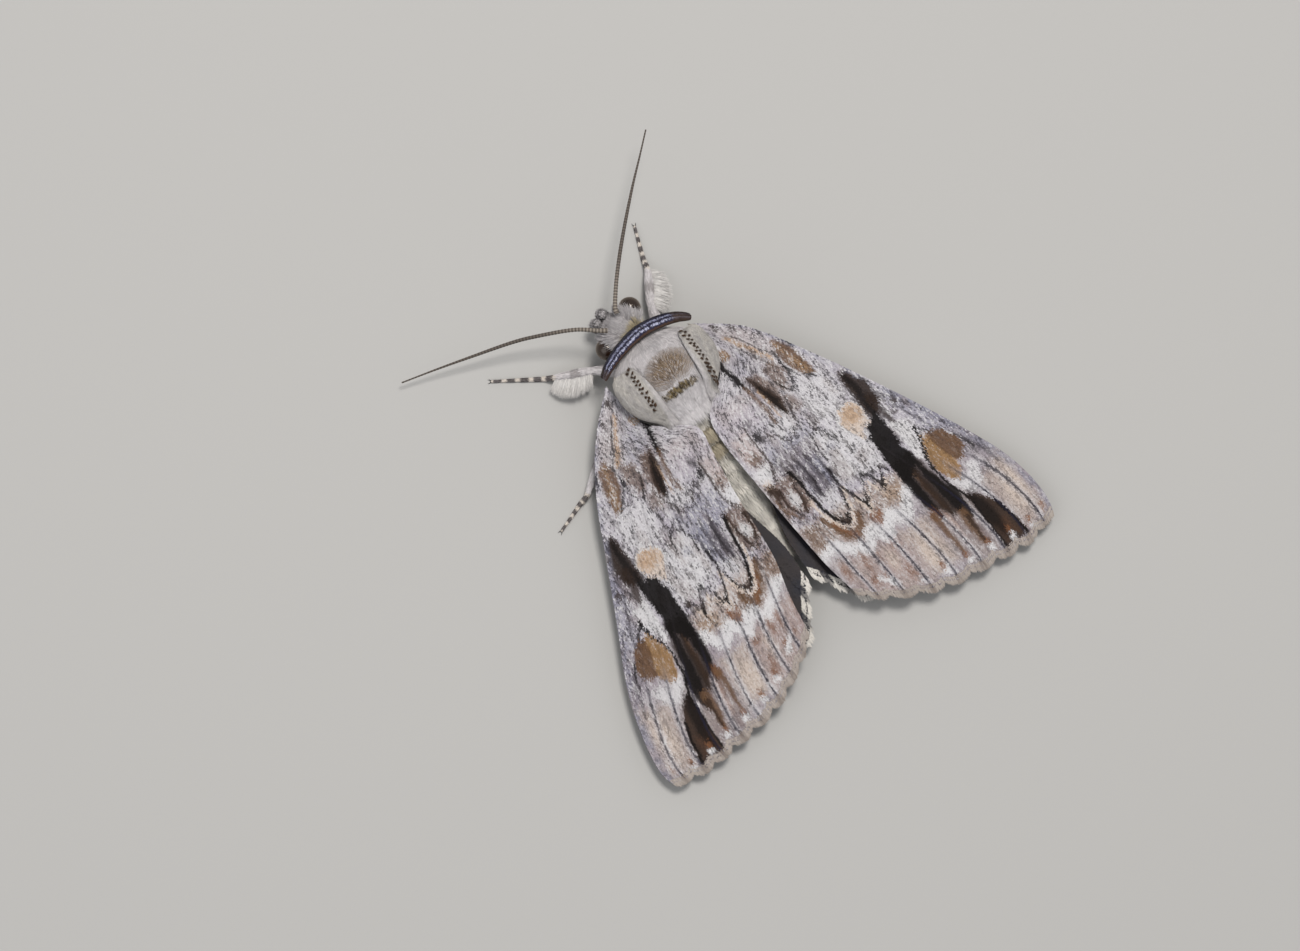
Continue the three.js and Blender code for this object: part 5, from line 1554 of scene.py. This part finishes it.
# Where each leg leaves the thorax in mm tailward, its knee, its ankle, and its toe on the floor.
LEGS = {
    "foreleg_left": (0.5, (5.3, -1.2, 2.5), (8.5, -2.9, 1.1), (14.0, -6.5)),
    "foreleg_right": (0.5, (-3.5, -3.0, 2.45), (-5.75, -6.3, 1.0), (-7.55, -10.8)),
    "midleg_left": (3.4, (7.9, 4.9, 2.1), (12.9, 8.5, 0.85), (17.3, 10.0)),
    "midleg_right": (3.4, (-7.9, 4.7, 2.1), (-12.2, 9.4, 0.85), (-13.8, 13.8)),
    "hindleg_left": (6.1, (6.3, 11.0, 1.9), (8.6, 18.6, 0.8), (9.8, 24.2)),
    "hindleg_right": (6.1, (-6.3, 11.0, 1.9), (-8.6, 18.6, 0.8), (-9.8, 24.2)),
}
SPURS = {  # share of the shin and length in mm
    "foreleg": [],
    "midleg": [(0.96, 1.5), (0.9, 1.1)],
    "hindleg": [(0.96, 1.5), (0.9, 1.1), (0.62, 1.4), (0.58, 1.0)],
}
# The way in which the hair of the front shins is swept.
FAN_WAYS = {"foreleg_left": (0.62, 0.78, -0.12), "foreleg_right": (-0.5, 0.85, -0.1)}
LEG_ROOT_ANGLE = -0.85  # radians up from the thorax's side
TARSUS_JOINTS = 5
LEG_ROWS, LEG_SIDES = 150, 12
LEG_SCALES = 1500


def leg_tube(root, knee, ankle, toe):
    """A leg from inside the thorax to its toe, and the share of its length at knee and heel."""
    angle = LEG_ROOT_ANGLE if knee[0] > 0 else math.pi - LEG_ROOT_ANGLE
    start = THORAX.at(root, angle) - THORAX.normal(np.array(root), np.array(angle)) * 0.5
    knee, ankle, toe = np.array(knee), np.array(ankle), np.array(toe)
    heel = ankle[:2] + unit(toe - ankle[:2]) * 1.2
    points = [start, mix(start, knee, 0.5), knee, mix(knee, ankle, 0.5), ankle, (*heel, 0.24),
              (*mix(heel, toe, 0.5), 0.2), (*toe, 0.14)]
    knots = Path(points).knots
    k, h = knots[2], knots[4]

    def radius(u):
        size = through([(0, 0.4), (k * 0.5, 0.62), (k * 0.92, 0.36), (k, 0.3), (k + 0.03, 0.36),
                        ((k + h) / 2, 0.42), (h * 0.98, 0.28), (h, 0.24), (h + 0.03, 0.25), (1, 0.13)], u)
        foot = np.clip((u - h) / (1 - h), 0, 1)
        joint = 1 - 0.22 * np.exp(-((foot * TARSUS_JOINTS - np.round(foot * TARSUS_JOINTS)) / 0.09) ** 2)
        return size * np.where(u > h, joint, 1)

    return Tube(points, radius, floor=0.02), k, h


def leg_tones(share, k, h, random):
    """Grey femur and tibia, dark foot with a pale ring at the end of each joint."""
    n = len(share)
    rgb = speckle(FUR_PALE, GREY, 0.4, random, n)
    foot = np.clip((share - h) / (1 - h), 0, 1) * TARSUS_JOINTS
    ring = smooth((0.24 - np.abs(foot - np.round(foot))) / 0.1)
    dark = mix(tint(62, 54, 50), tint(196, 186, 174), ring[:, None])
    shin = np.clip((share - k) / (h - k), 0, 1)
    band = smooth((0.16 - np.abs(shin - 0.45)) / 0.06)
    rgb = mix(rgb, tint(104, 96, 92), (0.6 * band)[:, None])
    return np.where((share > h * 0.99)[:, None], dark, rgb)


def spine(start, end, bend, thick, colour):
    """A thin curved spine, as for claws and spurs."""
    middle = (start + end) / 2 + bend
    points, faces = loft_mesh(Tube([start, middle, end], lambda u: thick * (1 - 0.93 * u)), 10, 8, 0)
    return points, faces, np.repeat(colour[None], len(points), 0)


def claws(ankle, toe):
    """The two claws at the end of a foot."""
    heading = unit(np.array([toe[0] - ankle[0], toe[1] - ankle[1], 0.0]))
    across = np.array([-heading[1], heading[0], 0])
    start = np.array([*toe, 0.16]) - heading * 0.1
    parts = []
    for way in (1, -1):
        tip = start + heading * 0.42 + across * 0.2 * way + [0, 0, -0.12]
        bend = across * 0.06 * way + [0, 0, 0.1]
        parts.append(spine(start, tip, bend, 0.06, tint(34, 26, 22)))
    return parts


def spurs(pair, knee, ankle):
    """The spurs on the shins of a pair of legs."""
    shin = unit(np.array(ankle) - np.array(knee))
    parts = []
    for place, long in SPURS[pair]:
        start = mix(np.array(knee), np.array(ankle), place)
        tip = start + shin * long + [0, 0, -0.18]
        parts.append(spine(start, tip, [0, 0, 0.02], 0.13, tint(158, 148, 138)))
    return parts


def tibia_fan(knee, ankle, out, seed):
    """Long white hair on the front tibia, swept out and back."""
    random = np.random.default_rng(seed)
    count = 1800
    share = random.uniform(0.05, 0.95, count)
    knee, ankle = np.array(knee), np.array(ankle)
    root = mix(knee, ankle, share[:, None]) + random.uniform(-0.15, 0.15, (count, 3))
    shin = unit(ankle - knee)
    along = np.array(out) + shin * (0.5 * share - 0.1)[:, None] + random.uniform(-0.15, 0.15, (count, 3))
    along[:, 2] += 0.25 * random.random(count)
    along = unit(along)
    long = 2.5 * (0.6 + 0.35 * np.sin(np.pi * share)) * random.uniform(0.75, 1.1, count)
    f = LOCK_STATIONS
    centres = root[:, None] + along[:, None] * (long[:, None] * f)[..., None]
    centres[..., 2] = np.maximum(centres[..., 2] - 0.3 * f**2, 0.1)
    sides = unit(np.cross(along, UP))[:, None]
    ups = np.cross(sides, along[:, None])
    width = 0.09 * random.uniform(0.7, 1.3, count)[:, None] * LOCK_WIDTHS
    points, faces, corners = blades(centres, sides, ups, width, LOCK_THICKNESS)
    own = speckle(tint(214, 210, 206), GREY, 0.2, random, count)
    # Painted shade at the hair roots: they are darker than the tips.
    rgb = blade_colours(own * 0.8, own, f)
    return points, faces, rgb, patch_places(share, random.random(count), corners)


def leg_coat(tube, k, h, random):
    """Flat scales over a leg."""
    p = tube.end * mix(0.06, 0.98, random.random(LEG_SCALES) ** 0.85)
    q = random.uniform(0, 2 * math.pi, LEG_SCALES)
    own = leg_tones(np.clip((p + 0.2) / tube.end, 0, 1), k, h, random)
    slim = np.clip(tube.radius(p / tube.end) / 0.4, 0.3, 1)
    run, width = 0.62 * (0.4 + 0.6 * slim), 0.1 * (0.6 + 0.4 * slim)
    # Painted light at the scale tips: they are paler than the roots.
    return coat(tube, p, q, run, 0, 0.1 * slim, width, own, mix(own, PALE, 0.15), sink=0.04)


for index, (name, (root, knee, ankle, toe)) in enumerate(LEGS.items()):
    random = np.random.default_rng(60 + index)
    tube, k, h = leg_tube(root, knee, ankle, toe)
    share = np.append(np.repeat(np.linspace(0, 1, LEG_ROWS), LEG_SIDES), [0, 1])
    limb = (*loft_mesh(tube, LEG_ROWS, LEG_SIDES, 0), leg_tones(share, k, h, random))
    part = all_outward([limb, *claws(ankle, toe), *spurs(name.split("_")[0], knee, ankle)])
    nodes = [f"{name}_{joint}" for joint in ("femur", "tibia", "tarsus")]
    make_piece(f"{name}_limb", part, LIMB, nodes)

    coats = [leg_coat(tube, k, h, random)]
    if name in FAN_WAYS:
        coats.append(tibia_fan(knee, ankle, FAN_WAYS[name], 70 + index))
    part = together(coats)
    part[0][:, 2] = np.maximum(part[0][:, 2], 0.01)
    make_piece(f"{name}_scales", part, FUR)

# ---- Floor, light and camera ----

PHOTO_UP = np.array([-0.6, -0.8, 0.0])
CAMERA_TARGET = (7.03, 10.75, 3.0)
CAMERA_TILT = math.radians(10)
CAMERA_ROLL = math.radians(-0.1)
CAMERA_DISTANCE = 383.0
FLOOR_REACH = 1.5  # metres
LIT_PLACE = np.array([0, 14, 3])  # the moth's middle

towards = np.array([math.sin(CAMERA_TILT), 0, math.cos(CAMERA_TILT)])
view_up = unit(PHOTO_UP - towards * PHOTO_UP.dot(towards))
view_right = np.cross(view_up, towards)
view_up = view_up * math.cos(CAMERA_ROLL) + view_right * math.sin(CAMERA_ROLL)
view_right = np.cross(view_up, towards)


def placed(thing, position, right, up, back):
    """Puts a camera or lamp at a place in the moth's frame, looking along -back."""
    turn = Matrix((right, up, back)).transposed().to_4x4()
    thing.matrix_world = Matrix.Translation(Vector(metres(position))) @ turn
    bpy.context.scene.collection.objects.link(thing)


lens = bpy.data.cameras.new("camera")
lens.lens = 105
lens.sensor_width = 36
lens.clip_start = 0.01
camera = bpy.data.objects.new("camera", lens)
placed(camera, np.array(CAMERA_TARGET) + towards * CAMERA_DISTANCE, view_right, view_up, towards)
bpy.context.scene.camera = camera

floor_mesh = bpy.data.meshes.new("floor")
floor_corners = [(x * FLOOR_REACH, y * FLOOR_REACH, 0) for x, y in [(-1, -1), (1, -1), (1, 1), (-1, 1)]]
floor_mesh.from_pydata(floor_corners, [], [(0, 1, 2, 3)])
floor = bpy.data.objects.new("floor", floor_mesh)
bpy.context.scene.collection.objects.link(floor)
paper, _, _, paper_shader = new_material("paper")
settle(paper_shader, {"Base Color": (0.4, 0.39, 0.375, 1), "Roughness": 0.9})
floor_mesh.materials.append(paper)


def soft_light(name, way, distance, size, power, colour):
    """A square area light towards a way from the moth's middle."""
    back = unit(np.array(way, float))
    side = unit(np.cross([0.1, 1, 0.05], back))
    lamp = bpy.data.lights.new(name, "AREA")
    lamp.size = size
    lamp.energy = power
    lamp.color = colour
    thing = bpy.data.objects.new(name, lamp)
    placed(thing, LIT_PLACE + back * distance, side, np.cross(back, side), back)


soft_light("key", view_right * 0.16 + view_up * 0.42 + towards, distance=500, size=0.12, power=2.0,
           colour=(1, 0.98, 0.95))
soft_light("fill", -view_right * 0.6 - view_up * 0.3 + towards * 0.8, distance=600, size=0.5, power=0.8,
           colour=(0.95, 0.97, 1))
world = bpy.data.worlds.new("studio")
world.use_nodes = True
settle(world.node_tree.nodes["Background"], {"Color": (0.95, 0.97, 1, 1), "Strength": 0.5})
bpy.context.scene.world = world
bpy.context.scene.view_settings.view_transform = "Standard"
